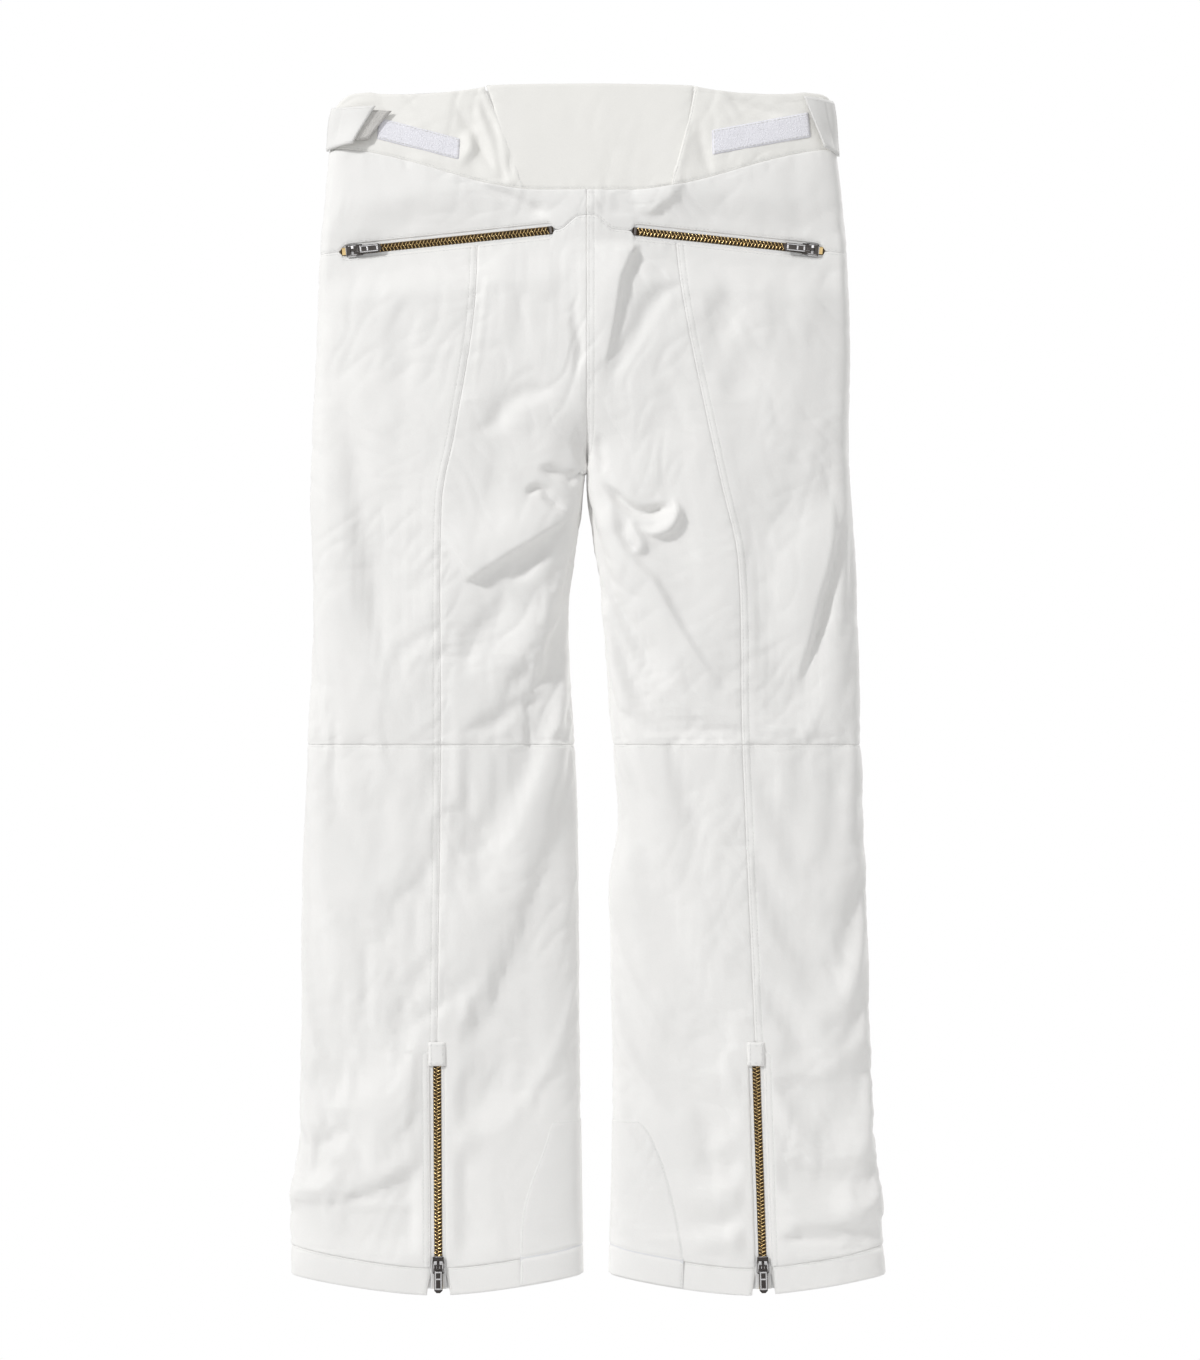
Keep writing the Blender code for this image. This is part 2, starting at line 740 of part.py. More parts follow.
def main():
    for old in list(bpy.data.objects):
        bpy.data.objects.remove(old, do_unlink=True)
    waistband()
    fly()
    for side in SIDES:
        adjuster_strip(side)
        adjuster_tab(side)
        yoke(side)
        upper_legs(side)
        back_knee(side)
        lower_legs(side)
        hem_band(side)
        scuff_guard(side)
        snow_gaiter(side)
        calf_gusset(side)
        pocket_bag(side)
        pocket_zip(side)
        calf_zip(side)
        garage_tab(side)


main()
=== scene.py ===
"""Ski pants seen from the back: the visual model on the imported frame.

Each half of the garment is a tube whose places are (u, z), as in the CAD: u runs 0 to 4 round it, from the
centre back or inner leg at 0, over the back princess seam at 1 and the side seam at 2, to the front at 3.
Every panel is a fine grid of that tube, with its folds, seam rolls and stitches worked out in code.
"""

import itertools
import math

import bpy
import numpy as np
from mathutils import Matrix, Vector


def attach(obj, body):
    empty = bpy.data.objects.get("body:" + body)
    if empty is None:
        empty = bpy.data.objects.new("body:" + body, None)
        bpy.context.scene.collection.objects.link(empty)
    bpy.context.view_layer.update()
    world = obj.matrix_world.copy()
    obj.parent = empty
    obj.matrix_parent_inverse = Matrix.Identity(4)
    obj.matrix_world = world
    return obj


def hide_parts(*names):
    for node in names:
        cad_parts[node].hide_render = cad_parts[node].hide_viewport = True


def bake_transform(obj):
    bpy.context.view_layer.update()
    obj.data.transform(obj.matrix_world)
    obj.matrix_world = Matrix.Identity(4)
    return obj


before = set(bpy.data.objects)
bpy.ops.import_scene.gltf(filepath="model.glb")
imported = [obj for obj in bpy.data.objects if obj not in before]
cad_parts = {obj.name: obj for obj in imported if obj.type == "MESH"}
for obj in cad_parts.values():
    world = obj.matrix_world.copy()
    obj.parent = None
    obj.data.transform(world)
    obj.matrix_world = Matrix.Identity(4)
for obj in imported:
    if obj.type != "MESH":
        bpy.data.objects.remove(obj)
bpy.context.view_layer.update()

MM = 0.001

# Heights and sizes shared with the CAD, in metres
FRONT_BAND_BOTTOM = -0.056
CROTCH = -0.3325
CROTCH_OPENS = -0.240
KNEE = -0.568
CALF_ZIP_TOP = -0.832
CALF_ZIP_BOTTOM = -1.034
FLY_TOP = -0.060
FLY_BOTTOM = -0.212
# How far out the flat under a calf's zip lies, and how much less a pocket's does at the side seam
CALF_ZIP_DEPTH = 0.0246
POCKET_LEAN = 0.0120
# The power of the superellipse that a leg's section follows
ROUNDNESS = 3.5
# The shell with its lining
CLOTH = 0.0019
# Heights over the flat under a zip
TAPE_OUTER = -0.0027
PULL_AXIS = 0.00375

# Half the garment's depth at heights from the waist down
DEPTH = [
    (0.0, 0.0165), (-0.05, 0.0235), (-0.10, 0.0290), (-0.16, 0.0315), (-0.24, 0.0325), (-0.33, 0.0320),
    (-0.45, 0.0300), (-0.568, 0.0270), (-0.70, 0.0255), (-0.80, 0.0250), (-0.92, 0.0250), (-1.05, 0.0250),
]


def smooth_through(points):
    """A smooth function of height, on arrays, through (height, value) points listed from the top down."""
    heights = np.array([p[0] for p in points])
    values = np.array([p[1] for p in points])
    low = np.maximum(np.arange(len(points)) - 1, 0)
    high = np.minimum(np.arange(len(points)) + 1, len(points) - 1)
    slopes = (values[high] - values[low]) / (heights[high] - heights[low])

    def value(z):
        z = np.clip(np.asarray(z, float), heights[-1], heights[0])
        i = np.clip(np.searchsorted(-heights, -z, side="right") - 1, 0, len(points) - 2)
        span = heights[i + 1] - heights[i]
        t = (z - heights[i]) / span
        return (
            (2 * t**3 - 3 * t**2 + 1) * values[i]
            + (t**3 - 2 * t**2 + t) * span * slopes[i]
            + (3 * t**2 - 2 * t**3) * values[i + 1]
            + (t**3 - t**2) * span * slopes[i + 1]
        )

    return value


def ease(t):
    t = np.clip(t, 0.0, 1.0)
    return t * t * (3 - 2 * t)


depth_at = smooth_through(DEPTH)


class Side:
    """One half of the garment, worked out at +X and mirrored for the wearer's right.

    outer, inner and seam give the x of its edges and its back princess seam at heights from the top down.
    calf_zip is the x of the calf zip's top and bottom, and pocket that of the pocket zip's two ends.
    """

    def __init__(self, tag, sign, outer, inner, seam, calf_zip, pocket):
        self.tag = tag
        self.sign = sign
        self.outer = smooth_through(outer)
        self.inner = smooth_through(inner)
        self.upper_seam = smooth_through(seam)
        self.calf_zip = calf_zip
        self.pocket = pocket

    def seam(self, z):
        top, bottom = self.calf_zip
        straight = top + (bottom - top) * (z - CALF_ZIP_TOP) / (CALF_ZIP_BOTTOM - CALF_ZIP_TOP)
        return np.where(z < CALF_ZIP_TOP, straight, self.upper_seam(z))


LEFT = Side(
    "left", 1,
    outer=[(0, 0.2125), (-0.02, 0.2170), (-0.05, 0.2215), (-0.10, 0.2255), (-0.15, 0.2300), (-0.26, 0.2340),
           (-0.33, 0.2362), (-0.41, 0.2350), (-0.48, 0.2345), (-0.568, 0.2390), (-0.69, 0.2440),
           (-0.82, 0.2450), (-0.90, 0.2475), (-0.958, 0.2545), (-1.05, 0.2545)],
    inner=[(CROTCH, 0.0036), (-0.352, 0.0056), (-0.375, 0.0080), (-0.41, 0.0120), (-0.444, 0.0168),
           (-0.485, 0.0168), (-0.58, 0.0111), (-0.684, 0.0086), (-0.82, 0.0077), (-0.94, 0.0060),
           (-1.05, 0.0040)],
    seam=[(-0.06, 0.094), (-0.19, 0.096), (-0.30, 0.113), (-0.36, 0.124), (-0.57, 0.125), (-0.832, 0.1285)],
    calf_zip=(0.1285, 0.1272),
    pocket=(0.030, 0.210),
)
RIGHT = Side(
    "right", -1,
    outer=[(0, 0.2080), (-0.05, 0.2135), (-0.10, 0.2194), (-0.15, 0.2237), (-0.26, 0.2252), (-0.33, 0.2245),
           (-0.41, 0.2297), (-0.48, 0.2314), (-0.568, 0.2335), (-0.69, 0.2390), (-0.82, 0.2425),
           (-0.90, 0.2460), (-0.958, 0.2528), (-1.05, 0.2588)],
    inner=[(CROTCH, 0.0008), (-0.352, 0.0020), (-0.375, 0.0052), (-0.41, 0.0100), (-0.444, 0.0146),
           (-0.512, 0.0189), (-0.58, 0.0240), (-0.633, 0.0275), (-0.684, 0.0200), (-0.75, 0.0214),
           (-0.90, 0.0231), (-1.05, 0.0190)],
    seam=[(-0.06, 0.074), (-0.145, 0.077), (-0.2125, 0.087), (-0.341, 0.114), (-0.41, 0.129),
          (-0.568, 0.133), (-0.832, 0.1445)],
    calf_zip=(0.1445, 0.1512),
    pocket=(0.040, 0.202),
)
SIDES = (LEFT, RIGHT)


def opening_angle(z):
    return -math.pi / 2 * ease((CROTCH_OPENS - z) / (CROTCH_OPENS - CROTCH))


def section(side, z, inset=0.0):
    """(centre x, half width, half depth) of the half tube at a height, moved in by inset.

    Above the crotch the two halves make one tube, so each opens on to the other at the middle.
    """
    closed = -np.sin(opening_angle(z))
    inner = np.where(z < CROTCH, side.inner(z), 0.0) + inset * closed
    outer = side.outer(z) - inset
    half_width = (outer - inner) / (1 + closed)
    return outer - half_width, half_width, depth_at(z) - inset


def angle(side, u, z):
    """The angle round the section of column u: -90 degrees at the inner leg, 90 at the side seam."""
    lap = np.where(u > 4, 2 * math.pi, 0.0)
    u = np.where(u > 4, u - 4, u)
    far = u > 2
    near_u = np.where(far, 4 - u, u)
    start = opening_angle(z)
    centre, half_width, _ = section(side, z)
    seam = np.arcsin(np.clip((side.seam(z) - centre) / half_width, -0.95, 0.95))
    inner = start + (seam - start) * near_u
    outer = seam + (math.pi / 2 - seam) * (near_u - 1)
    a = np.where(near_u < 1, inner, outer)
    return lap + np.where(far, math.pi - a, a)


def pocket_height(x):
    return -0.1245 - 0.096 * x


def pocket_depth_at(side, x):
    """The depth of the flat under a pocket's zip, which leans in towards the side seam."""
    in_x, out_x = side.pocket
    return 0.0265 - POCKET_LEAN * (x - in_x) / (out_x - in_x)


def fly_depth_at(z):
    return 0.0215 + 0.045 * (-0.05 - z)


def flats(side, x, z, front):
    """(weight, depth) of each place where a zip or a clip needs the cloth flat."""
    fly = np.where(front, ease((0.055 - x) / 0.025) * ease((z + 0.245) / 0.030), 0.0)
    pocket = np.where(front, 0.0, ease((0.045 - abs(z - pocket_height(x))) / 0.030))
    clip = np.where(front, 0.0, ease((0.090 - x) / 0.040) * ease((z + 0.135) / 0.045) * (1 - pocket))
    calf = np.where(front, 0.0, ease((-0.76 - z) / 0.04) * ease((0.040 - abs(x - side.seam(z))) / 0.020))
    return [(fly, fly_depth_at(z)), (clip, 0.0155 + 0.125 * -z), (pocket, pocket_depth_at(side, x)),
            (calf, CALF_ZIP_DEPTH)]


def place(side, u, z, inset=0.0):
    """The points of the cloth at (u, z), moved in from the outer face by inset, as an array."""
    u, z = np.broadcast_arrays(np.asarray(u, float), np.asarray(z, float))
    a = angle(side, u, z)
    centre, half_width, half_depth = section(side, z, inset)
    x = centre + half_width * np.sin(a)
    cosine = np.cos(a)
    y = half_depth * np.copysign(abs(cosine) ** (2 / ROUNDNESS), cosine)
    for weight, depth in flats(side, x, z, y < 0):
        y = np.copysign(abs(y) - weight * np.maximum(0.0, abs(y) - (depth - inset)), y)
    return np.stack([side.sign * x, y, z], axis=-1)


# Lines across the garment: each gives a height for a half's x and for back or front


def waist_top(side, x, front):
    corner = np.maximum(0.0, (x - 0.200) / 0.017)
    return -0.0080 * (x / 0.20) ** 2 - 0.010 * corner**2


def band_bottom(side, x, front):
    return np.where(front, FRONT_BAND_BOTTOM, -0.0925 + 0.0365 * ease((x - 0.04) / 0.18))


def pocket_line(side, x, front):
    return np.where(front, -0.125, pocket_height(x))


def at_height(z):
    return lambda side, x, front: np.full_like(x, z)


knee_line = at_height(KNEE)


def across(side, x, z):
    """0 at the middle of the leg and 1 at its edges."""
    centre, half_width, _ = section(side, np.asarray(z, float))
    return np.minimum(1.0, abs(x - centre) / half_width)


def hem_seam(side, x, front):
    rise = across(side, x, -1.01) ** 1.5
    return np.where(front, -1.0025 + 0.004 * rise, -1.0165 + 0.018 * rise)


def hem_bottom(side, x, front):
    rise = 0.016 * across(side, x, -1.03) ** 1.5
    return np.where(front, -1.0340 + 0.625 * rise, -1.0400 + rise)


def line_height(line, side, u):
    """The heights at which columns u meet a line, found in steps because the columns slant."""
    u = np.asarray(u, float)
    around = np.where(u > 4, u - 4, u)
    front = (around > 2) & (u <= 4)
    z = line(side, np.full_like(u, 0.12), front & False)
    for _ in range(2):
        x = abs(place(side, around, z)[..., 0])
        z = line(side, x, front)
    return z


# Grids


# Distances from a seam where a grid has a line, so that its groove and its stitches are drawn sharply
EDGE = np.array([0, 0.6, 1.2, 1.8, 2.4, 3.4, 4.6, 5.4, 6.0, 6.6, 8.0]) * MM


def offsets(length, step, low_edge=True, high_edge=True):
    """Distances along a strip, close together near the edges that carry a seam."""
    low = EDGE[EDGE < length / 2 - 0.5 * MM] if low_edge else np.array([0.0])
    high = length - (EDGE[EDGE < length / 2 - 0.5 * MM] if high_edge else np.array([0.0]))
    gap = high[-1] - low[-1]
    middle = np.linspace(low[-1], high[-1], max(2, int(math.ceil(gap / step)) + 1))[1:-1]
    return np.concatenate([low, middle, high[::-1]])


def unit(vectors):
    return vectors / np.maximum(np.linalg.norm(vectors, axis=-1, keepdims=True), 1e-12)


def surface_normals(points, sign=1):
    return unit(np.cross(np.gradient(points, axis=1), np.gradient(points, axis=0)) * sign)


def distances(points):
    """How far each point is along its row of points."""
    steps = np.linalg.norm(np.diff(points, axis=-2), axis=-1)
    return np.concatenate([np.zeros_like(steps[..., :1]), np.cumsum(steps, axis=-1)], axis=-1)


class Grid:
    """The base points of a block of the tube, with each point's outward normal and distances to its edges.

    up_shift and low_shift move the upper and lower lines by an amount that may vary with x. west_cut and
    east_cut take a strip off a side, and west_x and east_x put a side at a distance from the middle of the
    garment; both may vary with z.
    """

    def __init__(self, side, u_range, upper, lower, step=3.2 * MM, edges="nsew", up_shift=None,
                 low_shift=None, west_cut=None, east_cut=None, west_x=None, east_x=None, height=None):
        self.side = side
        samples = np.linspace(u_range[0], u_range[1], 61)
        top, low = line_height(upper, side, samples), line_height(lower, side, samples)
        if up_shift:
            top = top + up_shift(abs(place(side, samples, top)[..., 0]))
        if low_shift:
            low = low + low_shift(abs(place(side, samples, low)[..., 0]))
        height = height or float(np.mean(top - low))
        down = offsets(height, step, "n" in edges, "s" in edges)[:, None]
        share = ease(down / height)
        z_samples = (top - down) * (1 - share) + (low + height - down) * share
        points = place(side, samples[None, :], z_samples)
        lengths = distances(points)
        from_west = west_cut(z_samples[:, 0]) if west_cut else np.zeros(len(down))
        from_east = east_cut(z_samples[:, -1]) if east_cut else np.zeros(len(down))
        for r in range(len(down)):
            x, z = abs(points[r, :, 0]), points[r, :, 2]
            k = int(np.argmin(x)) if u_range[0] > 2 else 0
            if west_x:
                from_west[r] = np.interp(west_x(float(z[0])), x[k:], lengths[r, k:])
            if east_x:
                from_east[r] = lengths[r, -1] - np.interp(east_x(float(z[-1])), x[k:], lengths[r, k:])
        totals = lengths[:, -1] - from_west - from_east
        width = float(np.median(totals))
        wide = offsets(width, step, "w" in edges, "e" in edges)
        first = int(np.sum(wide < EDGE[-1] + 1e-6))
        last = len(wide) - int(np.sum(width - wide < EDGE[-1] + 1e-6))
        self.west = np.empty((len(down), len(wide)))
        self.u = np.empty_like(self.west)
        for r, total in enumerate(totals):
            reach = wide.copy()
            reach[last:] += total - width
            a, b = wide[first - 1], wide[last]
            reach[first:last] = a + (wide[first:last] - a) * (total - width + b - a) / (b - a)
            self.west[r] = reach
            self.u[r] = np.interp(reach + from_west[r], lengths[r], samples)
        top_u, low_u = np.interp(self.u, samples, top), np.interp(self.u, samples, low)
        self.z = (top_u - down) * (1 - share) + (low_u + height - down) * share
        self.base = place(side, self.u, self.z)
        self.east = totals[:, None] - self.west
        self.north = np.repeat(down, len(wide), axis=1)
        self.south = height - self.north
        self.normal = self.normals()
        self.size = (width, height)

    def normals(self):
        """The outward normals, turned to face straight back or forward beside the garment's middle."""
        n = surface_normals(self.base, self.side.sign)
        above = ease((self.base[..., 2] - CROTCH + 0.01) / 0.02)
        n[..., 0] *= 1 - above * (1 - ease(abs(self.base[..., 0]) / 0.015))
        return unit(n)


# Relief: the folds, in millimetres of (x, z) as the garment hangs. A valley or a ridge is the same both
# ways across; a step is high on one side of its line and drops steeply on the other.


def smooth_line(points):
    """The points joined by a Catmull-Rom curve, in steps."""
    steps = 6
    p = np.array([points[0]] + list(points) + [points[-1]], float)
    out = []
    for i in range(1, len(p) - 2):
        for t in np.linspace(0, 1, steps, endpoint=False):
            a, b, c, d = p[i - 1], p[i], p[i + 1], p[i + 2]
            out.append(0.5 * (2 * b + (c - a) * t + (2 * a - 5 * b + 4 * c - d) * t**2
                              + (3 * b - a - 3 * c + d) * t**3))
    return np.array(out + [p[-1]])


class Fold:
    """A fold along a line of points: its height, and its width on the soft and on the steep side.

    drop points down the steep side, and ends holds the shares of its length over which it fades.
    """

    def __init__(self, points, height, soft, steep=None, drop=None, ends=(0.35, 0.35)):
        self.line = smooth_line(points)
        self.height = height
        self.soft = soft
        self.steep = steep or soft
        self.drop = drop
        self.ends = ends

    def at(self, x, z):
        """The fold's height in mm at places in mm."""
        reach = 3.2 * max(self.soft, self.steep)
        low, high = self.line.min(0) - reach, self.line.max(0) + reach
        out = np.zeros_like(x)
        near = (x > low[0]) & (x < high[0]) & (z > low[1]) & (z < high[1])
        if not near.any():
            return out
        p = np.stack([x[near], z[near]], -1)
        along = np.diff(self.line, axis=0)
        length = np.linalg.norm(along, axis=1)
        starts = distances(self.line)
        rel = p[:, None, :] - self.line[:-1]
        t = np.clip((rel * along).sum(-1) / length**2, 0, 1)
        off = rel - t[..., None] * along
        dist = np.linalg.norm(off, axis=-1)
        k = dist.argmin(axis=1)
        row = np.arange(len(p))
        d = dist[row, k]
        ahead = (starts[k] + t[row, k] * length[k]) / starts[-1]
        end = ease(ahead / self.ends[0]) * ease((1 - ahead) / self.ends[1])
        width = np.full_like(d, self.soft)
        if self.drop is not None:
            falling = (off[row, k] * np.array(self.drop, float)).sum(-1) > 0
            width = np.where(falling, self.steep, self.soft)
        out[near] = self.height * end * np.exp(-((d / (width * (0.35 + 0.65 * end))) ** 2))
        return out


BACK_FOLDS = [
    # Waistband
    Fold([(116, -14), (100, -41), (74, -86)], -2.6, 4.5),
    Fold([(99, -12), (82, -48), (64, -84)], 2.0, 5.5),
    Fold([(102, -36), (98, -54), (104, -66), (112, -77)], 4.5, 8, 3.2, (-1, -0.3), (0.3, 0.5)),
    Fold([(92, -14), (79, -44), (71, -90)], -2.4, 3.5, ends=(0.3, 0.1)),
    Fold([(62, -60), (66, -74), (63, -87)], -1.6, 3, ends=(0.3, 0.5)),
    Fold([(-110, -9), (-130, -17), (-153, -24), (-178, -27)], -2.6, 4.5),
    Fold([(-96, -30), (-99, -56), (-108, -84)], -2.6, 5),
    Fold([(-87, -30), (-84, -50), (-78, -80)], 1.8, 5),
    # Left leg
    Fold([(44, -330), (23, -336), (8, -344)], -4.5, 4.5, ends=(0.35, 0.2)),
    Fold([(54, -357), (47, -350), (38, -350), (32, -358), (17, -372)], -5, 3.6, ends=(0.25, 0.3)),
    Fold([(8, -364), (19, -373), (45, -388), (70, -403), (94, -419), (106, -428)], 13, 30, 5.5, (-1, -1.2),
         (0.5, 0.10)),
    Fold([(30, -392), (52, -414), (67, -431)], -4.5, 8),
    Fold([(69, -429), (77, -455), (99, -482), (109, -517)], -3.5, 10),
    Fold([(36, -438), (27, -423), (21, -405)], -2.5, 7),
    Fold([(19, -452), (35, -471), (40, -491), (39, -517)], 8, 24, 5, (-1, -0.2)),
    Fold([(30, -528), (57, -534), (77, -547), (99, -555), (112, -562)], -3.5, 8),
    Fold([(30, -560), (12, -565)], -3, 5),
    Fold([(20, -259), (33, -265), (55, -268), (68, -277), (77, -290), (89, -298), (102, -298)], -3.5, 9),
    Fold([(230, -204), (194, -358), (182, -410), (186, -478), (173, -530)], -4, 20),
    Fold([(83, -153), (97, -273)], 0.7, 3, 3),
    Fold([(111, -273), (87, -274)], 0.7, 3, 3),
    # Right leg
    Fold([(-14, -342), (-30, -360), (-42, -368), (-56, -369), (-71, -361)], -9, 4, ends=(0.3, 0.2)),
    Fold([(-70, -357), (-77, -364), (-77, -374), (-70, -384), (-57, -387), (-42, -382)],
         8, 8, 3.2, (-1, -1), (0.3, 0.45)),
    Fold([(-32, -372), (-41, -384), (-48, -396), (-44, -403), (-34, -402)],
         5, 6, 3.2, (-0.7, -1), (0.4, 0.4)),
    Fold([(-20, -348), (-25, -384), (-34, -403), (-45, -416), (-57, -428), (-73, -457), (-87, -480),
          (-99, -497), (-115, -518), (-125, -539)], 6, 18, 4.2, (-1, -0.8), (0.15, 0.65)),
    Fold([(-211, -340), (-207, -391), (-201, -421), (-194, -445), (-187, -482), (-180, -505), (-174, -530)],
         13, 34, 7.5, (-1, 0), (0.45, 0.45)),
    Fold([(-226, -359), (-221, -377), (-214, -405), (-209, -426), (-202, -457), (-195, -480), (-186, -499)],
         -4, 4.5),
    Fold([(-25, -536), (-46, -552), (-63, -559)], -3, 6),
    Fold([(-40, -470), (-52, -500), (-58, -525)], -2, 12),
    # Centre and seat
    Fold([(-41, -112), (-40, -136), (-33, -156), (-27, -171), (-24, -192), (-19, -225), (-9, -262)],
         9.5, 24, 4.5, (-1, -0.2), (0.12, 0.6)),
    Fold([(10, -180), (10, -207), (6, -226), (8, -243), (9, -260)], -3, 4.5),
    Fold([(95, -88), (63, -100), (40, -115), (28, -124)], -3.5, 5),
    Fold([(48, -100), (39, -112), (30, -122)], -2, 4.5, ends=(0.4, 0.4)),
    Fold([(-86, -84), (-57, -107), (-40, -118)], 5, 18, 6, (-1, -1)),
    Fold([(-91, -172), (-63, -183), (-45, -210), (-28, -241), (-15, -264)], -4.5, 9),
    Fold([(9, -294), (4, -334)], -3, 4.5),
    Fold([(-11, -298), (-14, -340)], -3, 4.5),
    Fold([(-114, -159), (-122, -185), (-109, -228), (-99, -264)], -3, 14),
    Fold([(-147, -214), (-133, -247), (-122, -279)], -3, 14),
    Fold([(150, -180), (158, -230), (150, -300)], -2.5, 16),
    # Below the knees
    Fold([(70, -600), (90, -660), (84, -720)], -2.5, 14),
    Fold([(190, -590), (176, -640), (186, -700)], -2.5, 15),
    Fold([(60, -840), (84, -870), (88, -930)], -2, 12),
    Fold([(205, -860), (196, -930), (206, -990)], -2, 13),
    Fold([(-75, -600), (-92, -650), (-84, -720)], -2.5, 14),
    Fold([(-200, -590), (-180, -640), (-190, -710)], -2.5, 15),
    Fold([(-80, -850), (-98, -880), (-100, -940)], -2, 12),
    Fold([(-215, -870), (-205, -930), (-214, -990)], -2, 13),
]


def both_legs(folds):
    """Each fold and its mirror image a little lower, for the front, where neither leg is favoured."""
    made = []
    for points, height, soft, steep, drop in folds:
        made.append(Fold(points, height, soft, steep, drop))
        other = [(-1.04 * x, z - 7) for x, z in points]
        made.append(Fold(other, 0.9 * height, soft, steep, drop and (-drop[0], drop[1])))
    return made


FRONT_FOLDS = both_legs([
    ([(6, -290), (40, -312), (86, -322), (120, -318)], 4.5, 18, 6, (0.2, -1)),
    ([(8, -322), (48, -352), (96, -372)], 4.5, 20, 7, (0.3, -1)),
    ([(20, -376), (60, -410), (110, -440)], -3, 9, 9, None),
    ([(205, -300), (190, -360), (196, -430)], -3.5, 16, 16, None),
    ([(30, -520), (70, -538), (120, -540)], 3.5, 16, 7, (0, -1)),
    ([(214, -540), (170, -556), (130, -556)], 3.5, 16, 7, (0, -1)),
    ([(26, -600), (60, -588), (100, -590)], -3, 8, 8, None),
    ([(214, -620), (180, -606), (150, -604)], -3, 8, 8, None),
    ([(60, -680), (84, -740), (80, -820)], -2.5, 15, 15, None),
    ([(190, -690), (176, -760), (186, -850)], -2.5, 15, 15, None),
    ([(120, -880), (126, -930), (116, -980)], -2, 14, 14, None),
    ([(110, -130), (128, -180), (120, -250)], -2.5, 15, 15, None),
])


def lattice_noise(x, y, seed):
    """Smooth noise from -1 to 1 on arrays, the same for a seed each time."""

    def corner(i, j):
        h = (i * 374761393 + j * 668265263 + seed * 974634777) & 0xFFFFFFFF
        h = ((h ^ (h >> 13)) * 1274126177) & 0xFFFFFFFF
        turn = (h ^ (h >> 16)) % 4096 * (2 * math.pi / 4096)
        return np.cos(turn), np.sin(turn)

    i, j = np.floor(x).astype(np.int64), np.floor(y).astype(np.int64)
    fx, fy = x - i, y - j
    sx, sy = fx**3 * (fx * (fx * 6 - 15) + 10), fy**3 * (fy * (fy * 6 - 15) + 10)

    def dot(a, b):
        gx, gy = corner(i + a, j + b)
        return gx * (fx - a) + gy * (fy - b)

    low = dot(0, 0) * (1 - sx) + dot(1, 0) * sx
    high = dot(0, 1) * (1 - sx) + dot(1, 1) * sx
    return 1.5 * (low * (1 - sy) + high * sy)


def undulation(x, z, back):
    """The loose swell and the fine creases of unpressed padded cloth, in mm."""
    seed = np.where(back, 0, 50)
    x = x + 400 * seed
    warp = 9 * lattice_noise(x / 47, z / 61, 3)
    swell = 1.5 * lattice_noise((x + warp) / 52, (z - warp) / 85, 5)
    swell += 0.75 * lattice_noise((x - warp) / 21, (z + warp) / 34, 7)
    creases = 0
    for turn, size, seed_of, height in ((0.5, 19, 11, 0.75), (-0.6, 23, 13, 0.75), (1.3, 15, 17, 0.4)):
        c, s = math.cos(turn), math.sin(turn)
        n = lattice_noise((c * x + s * z + warp) / size, (-s * x + c * z) / (3.2 * size), seed_of)
        where = ease((lattice_noise(x / 70, z / 90, seed_of + 1) + 0.2) / 0.6)
        creases -= height * np.exp(-((n / 0.16) ** 2)) * where
    return swell + creases


# In mm: folds that meet add up to no more than this
MOST_RELIEF = 11
# The simulated sag of each half, filled in below
sim_field = {}


def calm(side, x, z, back):
    """How much of the relief a place keeps: less round the zips and at the hem and the guards."""
    ax = abs(x)
    pocket = 1 - 0.97 * np.where(back, ease((0.020 - abs(z - pocket_height(ax))) / 0.012), 0.0)
    zip_near = ease((-0.79 - z) / 0.03) * ease((0.026 - abs(ax - side.seam(z))) / 0.014)
    calf = 1 - 0.97 * np.where(back, zip_near, 0.0)
    fly = 1 - 0.9 * np.where(back, 0.0, ease((0.040 - ax) / 0.015) * ease((z + 0.240) / 0.03))
    hem = 1 - 0.55 * ease((-0.985 - z) / 0.03)
    guard = 1 - 0.7 * ease((-0.860 - z) / 0.04) * ease((0.110 - ax) / 0.03)
    return pocket * calf * fly * hem * guard


def relief(side, points, u):
    """How far the cloth stands off its smooth tube, in metres."""
    x, z = points[..., 0] * 1000, points[..., 2] * 1000
    back = points[..., 1] >= 0
    total = np.zeros_like(x)
    y_share = ease(abs(points[..., 1]) / 0.012)
    for folds, here in ((BACK_FOLDS, back), (FRONT_FOLDS, ~back)):
        for fold in folds:
            total += np.where(here, fold.at(x, z), 0.0)
    total *= y_share
    total += undulation(x, z, back) * (0.2 + 0.8 * y_share)
    total = MOST_RELIEF * np.tanh(total / MOST_RELIEF)
    if side.tag in sim_field:
        share = 0.2 + 0.7 * ease((-0.24 - points[..., 2]) / 0.22)
        total += sim_field[side.tag](u, points[..., 2]) * share * (0.2 + 0.8 * y_share)
    total *= calm(side, points[..., 0], points[..., 2], back)
    near_edge = ease((abs(x) - 1) / 14)
    above = ease((z / 1000 - CROTCH) / 0.02)
    front_fade = np.where(back, 1.0, 1 - above * (1 - near_edge))
    return total * front_fade * MM


# Seams

# The depth in mm of the groove at each style of edge
GROOVE = {"seam": 0.50, "top1": 0.50, "top2": 0.45, "knee": 0.75, "fold": 0.9, "free": 0.7, "plain": 0.0}
# Distances from the edge, in mm, of a style's rows of stitches
LINES = {"top1": (1.8,), "top2": (1.8, 6.0), "knee": (1.8,), "free": (1.8,)}


